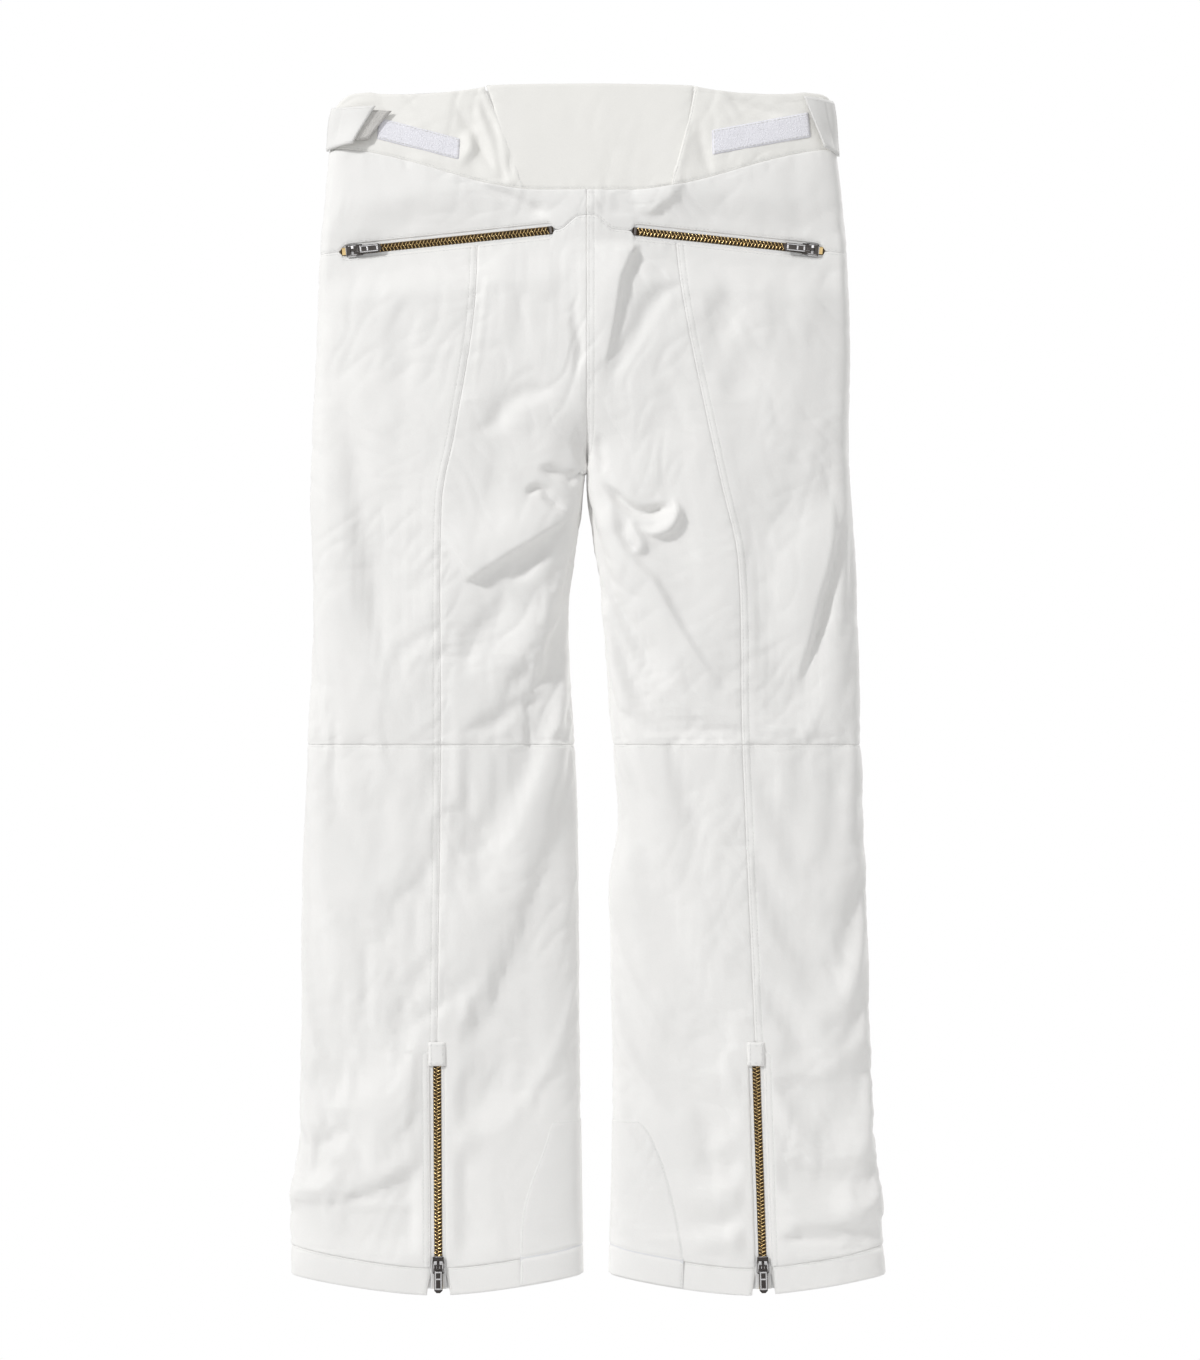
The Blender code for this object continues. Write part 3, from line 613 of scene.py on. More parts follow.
def edge_profile(d, style, along):
    """How a seam shapes the cloth d metres from its edge, in metres. along is a distance along the seam."""
    d = d / MM
    h = -GROOVE[style] * np.exp(-((d / 0.9) ** 2))
    for at in LINES.get(style, ()):
        h -= 0.28 * np.exp(-(((d - at) / 0.5) ** 2))
    if style in ("seam", "top1", "top2", "knee"):
        pucker = lattice_noise(along / 0.0052, along * 0 + 3.7, 23) * np.exp(-((d - 3.2) / 5.0) ** 2)
        h += 0.42 * pucker
        h += 0.55 * (1 - np.exp(-d / 7.0)) - 0.30
    return h * MM


def profile(grid, styles):
    """The four edges' profiles together. styles names them north, south, east and west."""
    h = 0
    along_z = grid.base[..., 2]
    along_x = grid.west + grid.base[..., 0][0, 0]
    for distance, style, along in ((grid.north, styles[0], along_x), (grid.south, styles[1], along_x),
                                   (grid.east, styles[2], along_z), (grid.west, styles[3], along_z)):
        if style:
            h = h + edge_profile(distance, style, along)
    return h


# Materials


def feed(tree, made, inputs):
    """Gives a node its inputs, by name or number: a value, or another node's output to join."""
    for key, value in inputs.items():
        if isinstance(value, bpy.types.NodeSocket):
            tree.links.new(value, made.inputs[key])
        else:
            made.inputs[key].default_value = value


def node(tree, kind, inputs=None, **settings):
    made = tree.nodes.new(kind)
    for key, value in settings.items():
        setattr(made, key, value)
    feed(tree, made, inputs or {})
    return made


def maths(tree, operation, *values, **settings):
    inputs = dict(enumerate(values))
    return node(tree, "ShaderNodeMath", inputs, operation=operation, **settings).outputs[0]


def noise(tree, source, scale, detail):
    inputs = {"Vector": source, "Scale": scale, "Detail": detail, "Roughness": 0.55}
    return node(tree, "ShaderNodeTexNoise", inputs).outputs["Fac"]


def mapped(tree, factor, low, high, out_low, out_high):
    inputs = {"Value": factor, "From Min": low, "From Max": high, "To Min": out_low, "To Max": out_high}
    return node(tree, "ShaderNodeMapRange", inputs).outputs["Result"]


def weave_height(tree, source, period):
    """The height of a plain weave of a thread spacing, from two crossed waves."""
    inputs = {"Vector": source, "Scale": 0.314 / period, "Distortion": 0.6, "Detail Scale": 2.0}
    waves = [node(tree, "ShaderNodeTexWave", inputs, bands_direction=way).outputs["Fac"] for way in "XY"]
    return maths(tree, "MULTIPLY", *waves)


def new_material(name, colour, roughness, metallic=0.0, sheen=0.0):
    made = bpy.data.materials.new(name)
    made.use_nodes = True
    look = {"Base Color": (*colour, 1), "Roughness": roughness, "Metallic": metallic, "Sheen Weight": sheen}
    feed(made.node_tree, made.node_tree.nodes["Principled BSDF"], look)
    return made


def surfaced(made, colours, share, roughness, height, strength, distance):
    """Mixes a material's two colours by a share, and gives it a varying roughness and bumps."""
    tree = made.node_tree
    first, second = ((*colour, 1) for colour in colours)
    tint = node(tree, "ShaderNodeMix", {"A": first, "B": second, "Factor": share}, data_type="RGBA")
    bumps = node(tree, "ShaderNodeBump", {"Strength": strength, "Distance": distance, "Height": height})
    look = {"Base Color": tint.outputs["Result"], "Roughness": roughness, "Normal": bumps.outputs["Normal"]}
    feed(tree, tree.nodes["Principled BSDF"], look)
    return made


def cloth_material(name, colour, shade, roughness, weave, bump, sheen=0.0, slub=0.12):
    """A woven cloth: a base colour mottled toward shade, a fine weave, slubs and handling marks."""
    made = new_material(name, colour, roughness, sheen=sheen)
    tree = made.node_tree
    uv = node(tree, "ShaderNodeUVMap", uv_map="cloth").outputs["UV"]
    space = node(tree, "ShaderNodeTexCoord").outputs["Object"]
    broad = noise(tree, space, 9.0, 5.0)
    fine = noise(tree, space, 900.0, 3.0)
    mottle = maths(tree, "ADD", mapped(tree, broad, 0.35, 0.75, 0.0, 0.55),
                   mapped(tree, fine, 0.35, 0.7, 0.0, 0.45))
    worn = noise(tree, space, 38.0, 4.0)
    worn = mapped(tree, worn, 0.3, 0.7, roughness - 0.08, min(1.0, roughness + 0.08))
    slubs = mapped(tree, fine, 0.3, 0.7, 0.0, slub * 4)
    height = maths(tree, "MULTIPLY_ADD", weave_height(tree, uv, weave), 0.8, slubs)
    return surfaced(made, (colour, shade), mottle, worn, height, bump, 0.0003)


def metal_material(name, colour, stain_and_edge_shade, roughness):
    """A plated metal: random spots of tarnish and painted shade at its edges as seen, both toward a darker
    colour, fine scratches and a varying polish.
    """
    made = new_material(name, colour, roughness, 1.0)
    tree = made.node_tree
    space = node(tree, "ShaderNodeTexCoord").outputs["Object"]
    spots = noise(tree, space, 220.0, 5.0)
    # Painted shade: the metal is darkened toward its second colour where its surface turns away from the
    # view, at its edges as seen.
    edge = node(tree, "ShaderNodeLayerWeight", {"Blend": 0.35}).outputs["Facing"]
    tarnish_and_edge_shade = maths(tree, "ADD", mapped(tree, spots, 0.45, 0.8, 0.0, 0.3),
                    mapped(tree, edge, 0.05, 0.55, 0.0, 0.9), use_clamp=True)
    gloss = mapped(tree, spots, 0.3, 0.7, roughness * 0.7, roughness * 1.4)
    scratches = noise(tree, space, 2600.0, 2.0)
    return surfaced(made, (colour, stain_and_edge_shade), tarnish_and_edge_shade, gloss, scratches, 0.12, 0.0001)


SHELL = cloth_material("shell_cloth", (0.870, 0.862, 0.845), (0.83, 0.825, 0.81), 0.82, 0.00042, 0.22, 0.15)
PATCH = cloth_material("scuff_cloth", (0.862, 0.855, 0.840), (0.82, 0.815, 0.80), 0.78, 0.00060, 0.30)
STRETCH = cloth_material("stretch_cloth", (0.875, 0.866, 0.832), (0.83, 0.82, 0.79), 0.62, 0.00048,
                         0.24, 0.2)
LINING = cloth_material("lining_cloth", (0.78, 0.78, 0.79), (0.70, 0.70, 0.72), 0.60, 0.00035, 0.20, 0.1)
LOOPS = cloth_material("loop_tape", (0.95, 0.945, 0.995), (0.92, 0.915, 0.98), 0.95, 0.0011, 0.9, 0.5, 0.5)
HOOKS = cloth_material("hook_tape", (0.78, 0.765, 0.74), (0.66, 0.64, 0.61), 0.75, 0.00130, 1.0, 0.0, 0.5)
TAPE = cloth_material("zip_tape", (0.86, 0.86, 0.85), (0.78, 0.78, 0.78), 0.85, 0.00070, 0.5)
THREAD = cloth_material("sewing_thread", (0.84, 0.84, 0.82), (0.76, 0.76, 0.75), 0.75, 0.00030, 0.4, 0.2)
# Each metal's second colour takes its random tarnish spots and its painted shade at the edges as seen.
BRASS = metal_material("brass", (1.0, 0.74, 0.36), (0.32, 0.20, 0.07), 0.26)
TAB = cloth_material("tab_cloth", (0.80, 0.793, 0.777), (0.77, 0.765, 0.75), 0.82, 0.00042, 0.22, 0.1)
NICKEL = metal_material("nickel", (0.92, 0.91, 0.92), (0.30, 0.29, 0.30), 0.26)
# A near-black copy of the nickel: painted shade for the bodies of the sliders and the pulls.
SHADED_NICKEL = metal_material("dark_nickel", (0.11, 0.10, 0.095), (0.025, 0.023, 0.022), 0.22)
# A dark brown strip laid under the zip teeth: painted shadow in the gaps between them.
SHADOW_STRIP = cloth_material("tape_bead", (0.13, 0.095, 0.055), (0.07, 0.05, 0.03), 0.9, 0.00070, 0.5)
DARK_METAL = metal_material("dark_metal", (0.22, 0.20, 0.19), (0.12, 0.11, 0.10), 0.35)


# Meshes


def make_mesh(name, verts, faces, materials, face_material=None, uv=None, smooth=True):
    """An object from arrays of points and of faces with four corners."""
    mesh = bpy.data.meshes.new(name)
    mesh.from_pydata(np.asarray(verts, float).tolist(), [], np.asarray(faces).tolist())
    for finish in materials:
        mesh.materials.append(finish)
    if face_material is not None:
        mesh.polygons.foreach_set("material_index", np.asarray(face_material, np.int32))
    mesh.polygons.foreach_set("use_smooth", np.full(len(mesh.polygons), smooth))
    if uv is not None:
        layer = mesh.uv_layers.new(name="cloth")
        corner = np.empty(len(mesh.loops), np.int32)
        mesh.loops.foreach_get("vertex_index", corner)
        layer.data.foreach_set("uv", np.asarray(uv, np.float32)[corner].ravel())
    mesh.update()
    made = bpy.data.objects.new(name, mesh)
    bpy.context.scene.collection.objects.link(made)
    return made


def quads(rows, cols):
    r, c = np.meshgrid(np.arange(rows - 1), np.arange(cols - 1), indexing="ij")
    a = r * cols + c
    return np.stack([a, a + 1, a + cols + 1, a + cols], -1).reshape(-1, 4)


def closed_faces(rows, cols):
    """The outer, inner and rim faces of a sheet: a grid of outer points, then the same of inner points."""
    rim = [(0, c) for c in range(cols)] + [(r, cols - 1) for r in range(1, rows)]
    rim += [(rows - 1, c) for c in range(cols - 2, -1, -1)] + [(r, 0) for r in range(rows - 2, 0, -1)]
    rim = np.array([r * cols + c for r, c in rim])
    after = np.roll(rim, -1)
    count = rows * cols
    outer = quads(rows, cols)
    return outer, outer[:, ::-1] + count, np.stack([rim, rim + count, after + count, after], -1)


def face_out(obj):
    """Turns a closed mesh's faces outwards where they all face in."""
    mesh = obj.data
    mesh.calc_loop_triangles()
    points = np.empty(len(mesh.vertices) * 3)
    mesh.vertices.foreach_get("co", points)
    points = points.reshape(-1, 3)
    corners = np.empty(len(mesh.loop_triangles) * 3, np.int32)
    mesh.loop_triangles.foreach_get("vertices", corners)
    if np.linalg.det(points[corners.reshape(-1, 3)]).sum() < 0:
        mesh.flip_normals()
    return obj


def sewn(grid, styles, lift=0.0, folds=1.0, thickness=CLOTH, extra=None):
    """(outer points, inner points) of a grid with its folds and its seams."""
    height = folds * relief(grid.side, grid.base, grid.u)
    shaped = profile(grid, styles)
    if extra is not None:
        shaped = shaped + extra(grid)
    outer = grid.base + grid.normal * (height + shaped + lift)[..., None]
    inner = grid.base + grid.normal * (height + lift - thickness)[..., None]
    return outer, inner


def cloth_mesh(name, base, west, layers, outside, inside):
    """A closed piece of cloth from its outer and inner points, laid out flat by its base points."""
    faces = closed_faces(*layers[0].shape[:2])
    kinds = np.repeat([0, 1, 0], [len(group) for group in faces])
    flat = np.stack([west + base[:, :1, 0], base[..., 2]], -1).reshape(-1, 2)
    points = np.concatenate([layer.reshape(-1, 3) for layer in layers])
    made = make_mesh(name, points, np.concatenate(faces), [outside, inside], kinds, np.tile(flat, (2, 1)))
    return face_out(made)


def tube_faces(rings, sides):
    """The side faces of a tube of rings of points."""
    start, k = np.meshgrid(np.arange(rings - 1) * sides, np.arange(sides), indexing="ij")
    a, b = start + k, start + (k + 1) % sides
    return np.stack([a, b, b + sides, a + sides], -1).reshape(-1, 4)


def enrol(piece, *nodes):
    """Hides the CAD nodes that the piece stands for; the piece itself is not used."""
    if nodes:
        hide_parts(*nodes)


def bend_at_knee(piece):
    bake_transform(piece)


# Sewing thread

STITCH_PITCH = 3.3 * MM
STITCH_LENGTH = 2.5 * MM
STITCH_RADIUS = 0.24 * MM
thread = {}


def stitches_along(line, normals, group):
    """Adds a row of stitches along a polyline of surface points to a group."""
    lengths = distances(line)
    count = int((lengths[-1] - STITCH_PITCH) / STITCH_PITCH)
    if count < 2:
        return
    starts = np.linspace(0.4 * STITCH_PITCH, lengths[-1] - STITCH_LENGTH - 0.4 * STITCH_PITCH, count)

    def at(distance, values):
        return np.stack([np.interp(distance, lengths, values[:, k]) for k in range(3)], -1)

    thread.setdefault(group, []).append((at(starts, line), at(starts + STITCH_LENGTH, line),
                                         at(starts + STITCH_LENGTH / 2, normals)))


def edge_stitches(grid, outer, styles, group):
    """The topstitching of each edge that has it."""
    for edge, style in zip("nsew", styles):
        for offset in LINES.get(style, ()):
            k = int(np.argmin(abs(EDGE - offset * MM)))
            pick = {"n": np.s_[k, :], "s": np.s_[-1 - k, :], "e": np.s_[:, -1 - k], "w": np.s_[:, k]}[edge]
            stitches_along(outer[pick], grid.normal[pick], group)


def thread_mesh(name, runs, finish):
    """Every stitch of a group as a small five-sided capsule lying in its seam."""
    starts, ends, up = (np.concatenate(part) for part in zip(*runs))
    length = np.linalg.norm(ends - starts, axis=1, keepdims=True)
    along = unit(ends - starts)
    up = unit(up - along * (up * along).sum(1, keepdims=True))
    cross = np.cross(along, up)
    # Each ring's share of the length, its share of the radius, and how far it stands out
    rings = [(-0.02, 0.35, -0.080), (0.10, 0.92, 0.016), (0.5, 1.0, 0.080), (0.90, 0.92, 0.016),
             (1.02, 0.35, -0.080)]
    sides = 5
    verts = []
    for share, radius, rise in rings:
        for k in range(sides):
            a = 2 * math.pi * k / sides
            out = cross * math.cos(a) + up * math.sin(a)
            verts.append(starts + along * length * share + out * radius * STITCH_RADIUS + up * rise * MM)
    verts = np.stack(verts, 1)
    first = len(rings) * sides * np.arange(len(starts))
    faces = (tube_faces(len(rings), sides)[None] + first[:, None, None]).reshape(-1, 4)
    verts = verts.reshape(-1, 3)
    return make_mesh(name, verts, faces, [finish], uv=verts[:, [0, 2]])


def sewn_panel(name, side, u_range, upper, lower, styles, where, rests_on, nodes=None, finish=SHELL,
               inside=LINING, lift=0.0, folds=1.0, thickness=CLOTH, extra=None, **grid_settings):
    """A panel of cloth with its seams and its stitches. It rides the pelvis, or else stays where it is, its
    transform baked into its points.
    """
    grid = Grid(side, u_range, upper, lower, **grid_settings)
    layers = sewn(grid, styles, lift, folds, thickness, extra)
    piece = cloth_mesh(f"{name}_{side.tag}_cloth", grid.base, grid.west, layers, finish, inside)
    edge_stitches(grid, layers[0], styles, where if where == "pelvis" else f"leg_{side.tag}")
    enrol(piece, *[f"{n}_{side.tag}" for n in nodes or [name]])
    if where == "pelvis":
        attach(piece, where)
    else:
        bend_at_knee(piece)


# The garment


def pocket_slot_at(side, x):
    in_x, out_x = side.pocket
    return 0.0062 * ease((x - in_x + 0.0030) / 0.005) * ease((out_x + 0.0030 - x) / 0.005)


def yoke_line(side, x, front):
    """The yoke's seam, which rises at the middle of the back."""
    return pocket_line(side, x, front) + np.where(front, 0.0, 0.010 * ease((0.024 - x) / 0.018))


def calf_slot_at(z):
    """Half the width of the opening over the calf zip, which spreads at the hem."""
    return 0.0064 * ease((CALF_ZIP_TOP + 0.003 - z) / 0.005) + 0.0035 * ease((-1.018 - z) / 0.022)


def fly_slot_at(z):
    return 0.0040 * ease((z - FLY_BOTTOM + 0.006) / 0.010)


band_seam = {
    "left": smooth_through([(-0.002, 0.088), (-0.045, 0.070), (-0.093, 0.053)]),
    "right": smooth_through([(-0.004, 0.092), (-0.033, 0.087), (-0.093, 0.072)]),
}


def back_dip(side):
    """The back waistband's top edge sags beside the middle panel, so the front band shows above it."""
    low, deep = (0.085, 0.0050) if side is LEFT else (0.092, 0.0045)

    def shift(x):
        share = (x - low) / (0.186 - low)
        return -deep * np.clip(4 * share * (1 - share), 0, 1) ** 0.8 * ((share > 0) & (share < 1))

    return shift


def waistband():
    """The raised centre panel, one piece over both halves, and each half's back and front bands."""
    halves = []
    for side in SIDES:
        grid = Grid(side, (0, 1.3), waist_top, band_bottom, step=3.0 * MM, edges="nse", height=0.080,
                    east_x=band_seam[side.tag])
        layers = sewn(grid, ("fold", "top1", "seam", None), folds=0.35, thickness=0.0028)
        edge_stitches(grid, layers[0], (None, "top1", None, None), "pelvis")
        halves.append((grid, layers))
    (left, left_layers), (right, right_layers) = halves
    pairs = [(right.base, left.base), *zip(right_layers, left_layers)]
    base, *layers = (np.concatenate([one[:, :0:-1], other], axis=1) for one, other in pairs)
    west = np.repeat(np.arange(base.shape[1])[None] * 3.0 * MM, base.shape[0], axis=0)
    piece = cloth_mesh("waistband_centre_cloth", base, west, layers, STRETCH, SHELL)
    enrol(piece, "waistband_centre_back")
    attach(piece, "pelvis")
    for side in SIDES:
        sewn_panel("waistband_back", side, (0.4, 2), waist_top, band_bottom,
                   ("fold", "top1", "seam", "top1"), "pelvis", "back_yoke", finish=STRETCH, inside=SHELL,
                   folds=0.9, thickness=0.0026, step=2.4 * MM, up_shift=back_dip(side),
                   west_x=band_seam[side.tag], height=0.062)
        sewn_panel("waistband_front", side, (2, 4), waist_top, band_bottom,
                   ("fold", "top1", "fold", "seam"), "pelvis", "front_upper", inside=SHELL, folds=0.35,
                   thickness=0.0028)


def upper(side):
    """From the waistband to the knee."""

    def up(x):
        return pocket_slot_at(side, x)

    def down(x):
        return -up(x)

    centre = "seam" if side is LEFT else "top2"
    sewn_panel("back_yoke", side, (0, 2), band_bottom, yoke_line, ("seam", "top1", "seam", centre),
               "pelvis", "waistband_back", low_shift=up, step=2.4 * MM)
    sewn_panel("seat", side, (0, 1), yoke_line, knee_line, ("top1", "seam", "seam", centre), "leg",
               "back_yoke", ["seat_and_inner_thigh", "back_knee"], step=2.3 * MM, up_shift=down)
    sewn_panel("outer_thigh", side, (1, 2), yoke_line, knee_line, ("top1", "seam", "seam", "top2"), "leg",
               "back_yoke", step=2.6 * MM, up_shift=down)
    sewn_panel("front_upper", side, (2, 4), at_height(FRONT_BAND_BOTTOM), knee_line,
               ("seam", "top1", "seam", "top1"), "leg", "waistband_front", step=4.2 * MM,
               east_cut=fly_slot_at)


def lower(side):
    """From the knee to the hem."""
    sewn_panel("calf_inner", side, (0, 1), knee_line, hem_seam, ("knee", "seam", "seam", "seam"), "leg",
               "seat", east_cut=calf_slot_at)
    sewn_panel("calf_outer", side, (1, 2), knee_line, hem_seam, ("knee", "seam", "seam", "top2"), "leg",
               "seat", west_cut=calf_slot_at)
    sewn_panel("front_shin", side, (2, 4), knee_line, hem_seam, ("seam", "seam", "seam", "top1"), "leg",
               "seat", step=4.2 * MM)
    sewn_panel("hem_band", side, (1, 5), hem_seam, hem_bottom, ("top1", "fold", "free", "free"), "shin",
               "calf_outer", west_cut=calf_slot_at, east_cut=calf_slot_at)


# Cloth simulation: each half of the garment, a little too long and too wide for itself, sags and buckles
# from its waist and its seams. How far it moves off the smooth tube is kept as a field over (u, z).

SIM_TOP, SIM_BOTTOM = -0.098, -1.020
SIM_ROWS, SIM_COLS = 132, 84
SIM_FRAMES = 26
SIM_MOST = 4.6


def pin_weights(u, z):
    seam = np.zeros_like(u)
    for at, weight in ((0, 0.45), (1, 0.30), (2, 0.40), (4, 0.45)):
        seam = np.maximum(seam, weight * np.exp(-(((u - at) / 0.05) ** 2)))
    for at, weight in ((SIM_TOP, 1.0), (KNEE, 0.35), (SIM_BOTTOM, 0.8)):
        seam = np.maximum(seam, weight * np.exp(-(((z - at) / 0.006) ** 2)))
    return seam


def simulate(side):
    scene = bpy.context.scene
    z, u = np.meshgrid(np.linspace(SIM_TOP, SIM_BOTTOM, SIM_ROWS), np.linspace(0, 4, SIM_COLS),
                       indexing="ij")
    base = place(side, u, z)
    seed = 71 if side is LEFT else 73
    start = base.copy()
    start[..., 1] += 0.0012 * lattice_noise(base[..., 0] / 0.026 + 9 * u, z / 0.040, seed)
    sheet = make_mesh(f"sim_{side.tag}", start.reshape(-1, 3), quads(SIM_ROWS, SIM_COLS), [SHELL])
    group = sheet.vertex_groups.new(name="pin")
    weights = pin_weights(u, z).ravel()
    for i in np.nonzero(weights > 0.01)[0]:
        group.add([int(i)], float(weights[i]), "REPLACE")
    cloth = sheet.modifiers.new("cloth", "CLOTH")
    settings = cloth.settings
    settings.quality = 7
    settings.mass = 0.25
    settings.vertex_group_mass = "pin"
    settings.pin_stiffness = 0.6
    for kind, stiffness, damping in (("tension", 26, 12), ("compression", 26, 12), ("shear", 12, 12),
                                     ("bending", 0.9, 1.2)):
        setattr(settings, f"{kind}_stiffness", stiffness)
        setattr(settings, f"{kind}_damping", damping)
    settings.shrink_min = -0.030
    settings.effector_weights.gravity = 0.6
    cloth.collision_settings.use_collision = False
    cloth.collision_settings.use_self_collision = False
    cloth.point_cache.frame_end = SIM_FRAMES
    scene.frame_start, scene.frame_end = 1, SIM_FRAMES
    for frame_number in range(1, SIM_FRAMES + 1):
        scene.frame_set(frame_number)
    settled = sheet.evaluated_get(bpy.context.evaluated_depsgraph_get())
    points = np.empty(len(settled.data.vertices) * 3)
    settled.data.vertices.foreach_get("co", points)
    points = points.reshape(*u.shape, 3)
    scene.frame_set(1)
    old = sheet.data
    bpy.data.objects.remove(sheet)
    bpy.data.meshes.remove(old)
    off = ((points - base) * surface_normals(base, side.sign)).sum(-1) * 1000
    off = off - np.median(off)
    field = SIM_MOST * np.tanh(off / SIM_MOST)
    field *= ease((SIM_TOP - z) / 0.030) * ease((z - SIM_BOTTOM) / 0.030)
    last_z, last_u = SIM_ROWS - 1.001, SIM_COLS - 1.001

    def look_up(u_at, z_at):
        r = np.clip((z_at - SIM_TOP) / (SIM_BOTTOM - SIM_TOP) * (SIM_ROWS - 1), 0, last_z)
        around = np.where(u_at > 4, u_at - 4, u_at)
        c = np.clip(around / 4 * (SIM_COLS - 1), 0, last_u)
        i, j = r.astype(int), c.astype(int)
        a, b = ease(r - i), ease(c - j)
        high = field[i, j] * (1 - b) + field[i, j + 1] * b
        low = field[i + 1, j] * (1 - b) + field[i + 1, j + 1] * b
        return high * (1 - a) + low * a

    return look_up


for side in SIDES:
    sim_field[side.tag] = simulate(side)


waistband()
for side in SIDES:
    upper(side)
    lower(side)


# Zips. In a zip's own axes +X is the way its slider opens it and +Z is out of the cloth.

TOOTH_PITCH = 3.1 * MM
TAPE_OVERRUN = 8.0 * MM
TAPE_WIDTH = 12.0 * MM


def zip_axes(start, along, outward):
    x_axis = along.normalized()
    z_axis = (outward - x_axis * outward.dot(x_axis)).normalized()
    y_axis = z_axis.cross(x_axis)
    turn = Matrix((x_axis, y_axis, z_axis)).transposed().to_4x4()
    return Matrix.Translation(start) @ turn


def moved(points, axes):
    m = np.array(axes)
    return np.asarray(points) @ m[:3, :3].T + m[:3, 3]


BOX_FACES = np.array([(0, 1, 3, 2), (4, 6, 7, 5), (0, 4, 5, 1), (2, 3, 7, 6), (0, 2, 6, 4), (1, 5, 7, 3)])


def box_points(low, high):
    return np.array(list(itertools.product(*zip(low, high))))


def tooth(way):
    """One tooth: a bar from the tape across the middle, narrower at its tip, with its top edges cut off."""
    points = []
    for y, half, top in ((-0.7, 0.30, 0.20), (-0.1, 0.40, 0.85), (1.9, 0.44, 1.00), (3.1, 0.42, 0.30)):
        lean = 0.42 * y
        for x, z in ((-half, -2.2), (-half, top - 0.35), (-0.55 * half, top), (0.55 * half, top),
                     (half, top - 0.35), (half, -2.2)):
            points.append((x + lean, way * y, z))
    end = np.array([(0, 1, 4, 5), (1, 2, 3, 4)])
    return np.array(points) * MM, np.concatenate([tube_faces(4, 6), end, end + 18])


def merged(parts):
    """(points, faces, materials) of several (points, faces, material number) in one mesh."""
    points, faces, kinds, count = [], [], [], 0
    for p, f, kind in parts:
        points.append(p)
        faces.append(np.asarray(f) + count)
        kinds.append(np.full(len(f), kind))
        count += len(p)
    return np.concatenate(points), np.concatenate(faces), np.concatenate(kinds)


def zip_chain(name, axes, length, side=None):
    """The two woven tapes, the interlocked brass teeth, and the stops at the ends."""
    parts = []
    for way in (1, -1):
        shape, faces = tooth(way)
        first = 0.6 * TOOTH_PITCH + (0 if way > 0 else TOOTH_PITCH / 2)
        count = int((length - first - 0.2 * TOOTH_PITCH) / TOOTH_PITCH)
        for k in range(count):
            parts.append((shape + np.array([first + k * TOOTH_PITCH, 0, 0]), faces, 0))
        rows, cols = max(3, int(length / 0.004)), 25
        # A pocket's and the fly's tape runs on past the chain at both ends, a calf's only at the top
        x = np.linspace(0.0 if side else -TAPE_OVERRUN, length + TAPE_OVERRUN, rows)
        x, y = np.meshgrid(x, np.linspace(0.0, TAPE_WIDTH, cols), indexing="ij")
        z = TAPE_OUTER + 0.0022 * ease((0.0070 - y) / 0.0005) * ease((y - 0.0029) / 0.0006)
        skin = np.stack([x, way * y, z], -1).reshape(-1, 3)
        faces = np.concatenate(closed_faces(rows, cols)[:2])
        parts.append((np.concatenate([skin, skin - np.array([0, 0, 0.0006])]), faces, 1))
    # A dark strip under the teeth, painted shadow in the gaps between them where the tapes' bead lies, and
    # the stops at the closed and the open end
    for start, end, half, low, high, kind in ((-0.002, length + 0.001, 0.0033, -0.0032, -0.0017, 3),
                                              (-0.0004, 0.0030, 0.0030, -0.0020, 0.0009, 0),
                                              (length - 0.0022, length - 0.0002, 0.0030, -0.0020,
                                               0.0009, 2)):
        parts.append((box_points((start, -half, low), (end, half, high)), BOX_FACES, kind))
    points, faces, kinds = merged(parts)
    points = moved(points, axes)
    piece = make_mesh(f"{name}_chain", points, faces, [BRASS, TAPE, DARK_METAL, SHADOW_STRIP], kinds,
                      points[:, [0, 2]], smooth=False)
    bevel_edges(piece, 0.00012, 1)
    enrol(piece, f"{name}_zip")
    if side:
        bend_at_knee(piece)
    else:
        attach(piece, "pelvis")


def bevel_edges(obj, width, segments=2, angle_deg=35):
    edge = obj.modifiers.new("rounded", "BEVEL")
    edge.width = width
    edge.segments = segments
    edge.limit_method = "ANGLE"
    edge.angle_limit = math.radians(angle_deg)


def polish(node_name, finish, width=0.00035):
    """Keeps a CAD node's shape, with its edges rounded and a better finish."""
    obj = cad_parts[node_name]
    obj.data.materials.clear()
    obj.data.materials.append(finish)
    bevel_edges(obj, width, 3, 25)


def slider_shell():
    """(points, faces) of the slider's flared nose, a thin skin over its body."""
    points = []
    for x, half, low, high in ((-0.0076, 0.0040, 0.0010, 0.0022), (-0.0062, 0.0057, 0.0006, 0.0028),
                               (0.0010, 0.0056, 0.0006, 0.0030), (0.0060, 0.0044, 0.0008, 0.0028),
                               (0.0076, 0.0028, 0.0010, 0.0022)):
        points += [(x, -half, low), (x, -0.7 * half, high), (x, 0.7 * half, high), (x, half, low)]
    points = np.array(points)
    return np.concatenate([points, points - np.array([0, 0, 0.0003])]), np.concatenate(closed_faces(5, 4))


def pull_frame(way, proud):
    """(points, faces) of the rim and the bars that stand proud of a pull."""
    height = PULL_AXIS + 0.0005
    bars = []
    for near, left, far, right in ((0.0050, -0.0030, 0.0207, -0.0019), (0.0050, 0.0019, 0.0207, 0.0030),
                                   (0.0050, -0.0019, 0.0063, 0.0019), (0.0108, -0.0019, 0.0122, 0.0019),
                                   (0.0192, -0.0019, 0.0207, 0.0019)):
        low, high = sorted((way * near, way * far))
        bars.append((box_points((low, left, height - 0.0001), (high, right, height + proud)), BOX_FACES, 0))
    return merged(bars)[:2]


def metal_detail(name, body, shape, here, bevel, smooth=False):
    """A small nickel piece with rounded edges, on a body of its zip."""
    points, faces = shape
    points = moved(points, here)
    piece = make_mesh(name, points, faces, [NICKEL], uv=points[:, [0, 2]], smooth=smooth)
    bevel_edges(piece, bevel, 2)
    enrol(piece)
    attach(piece, body)
    return piece


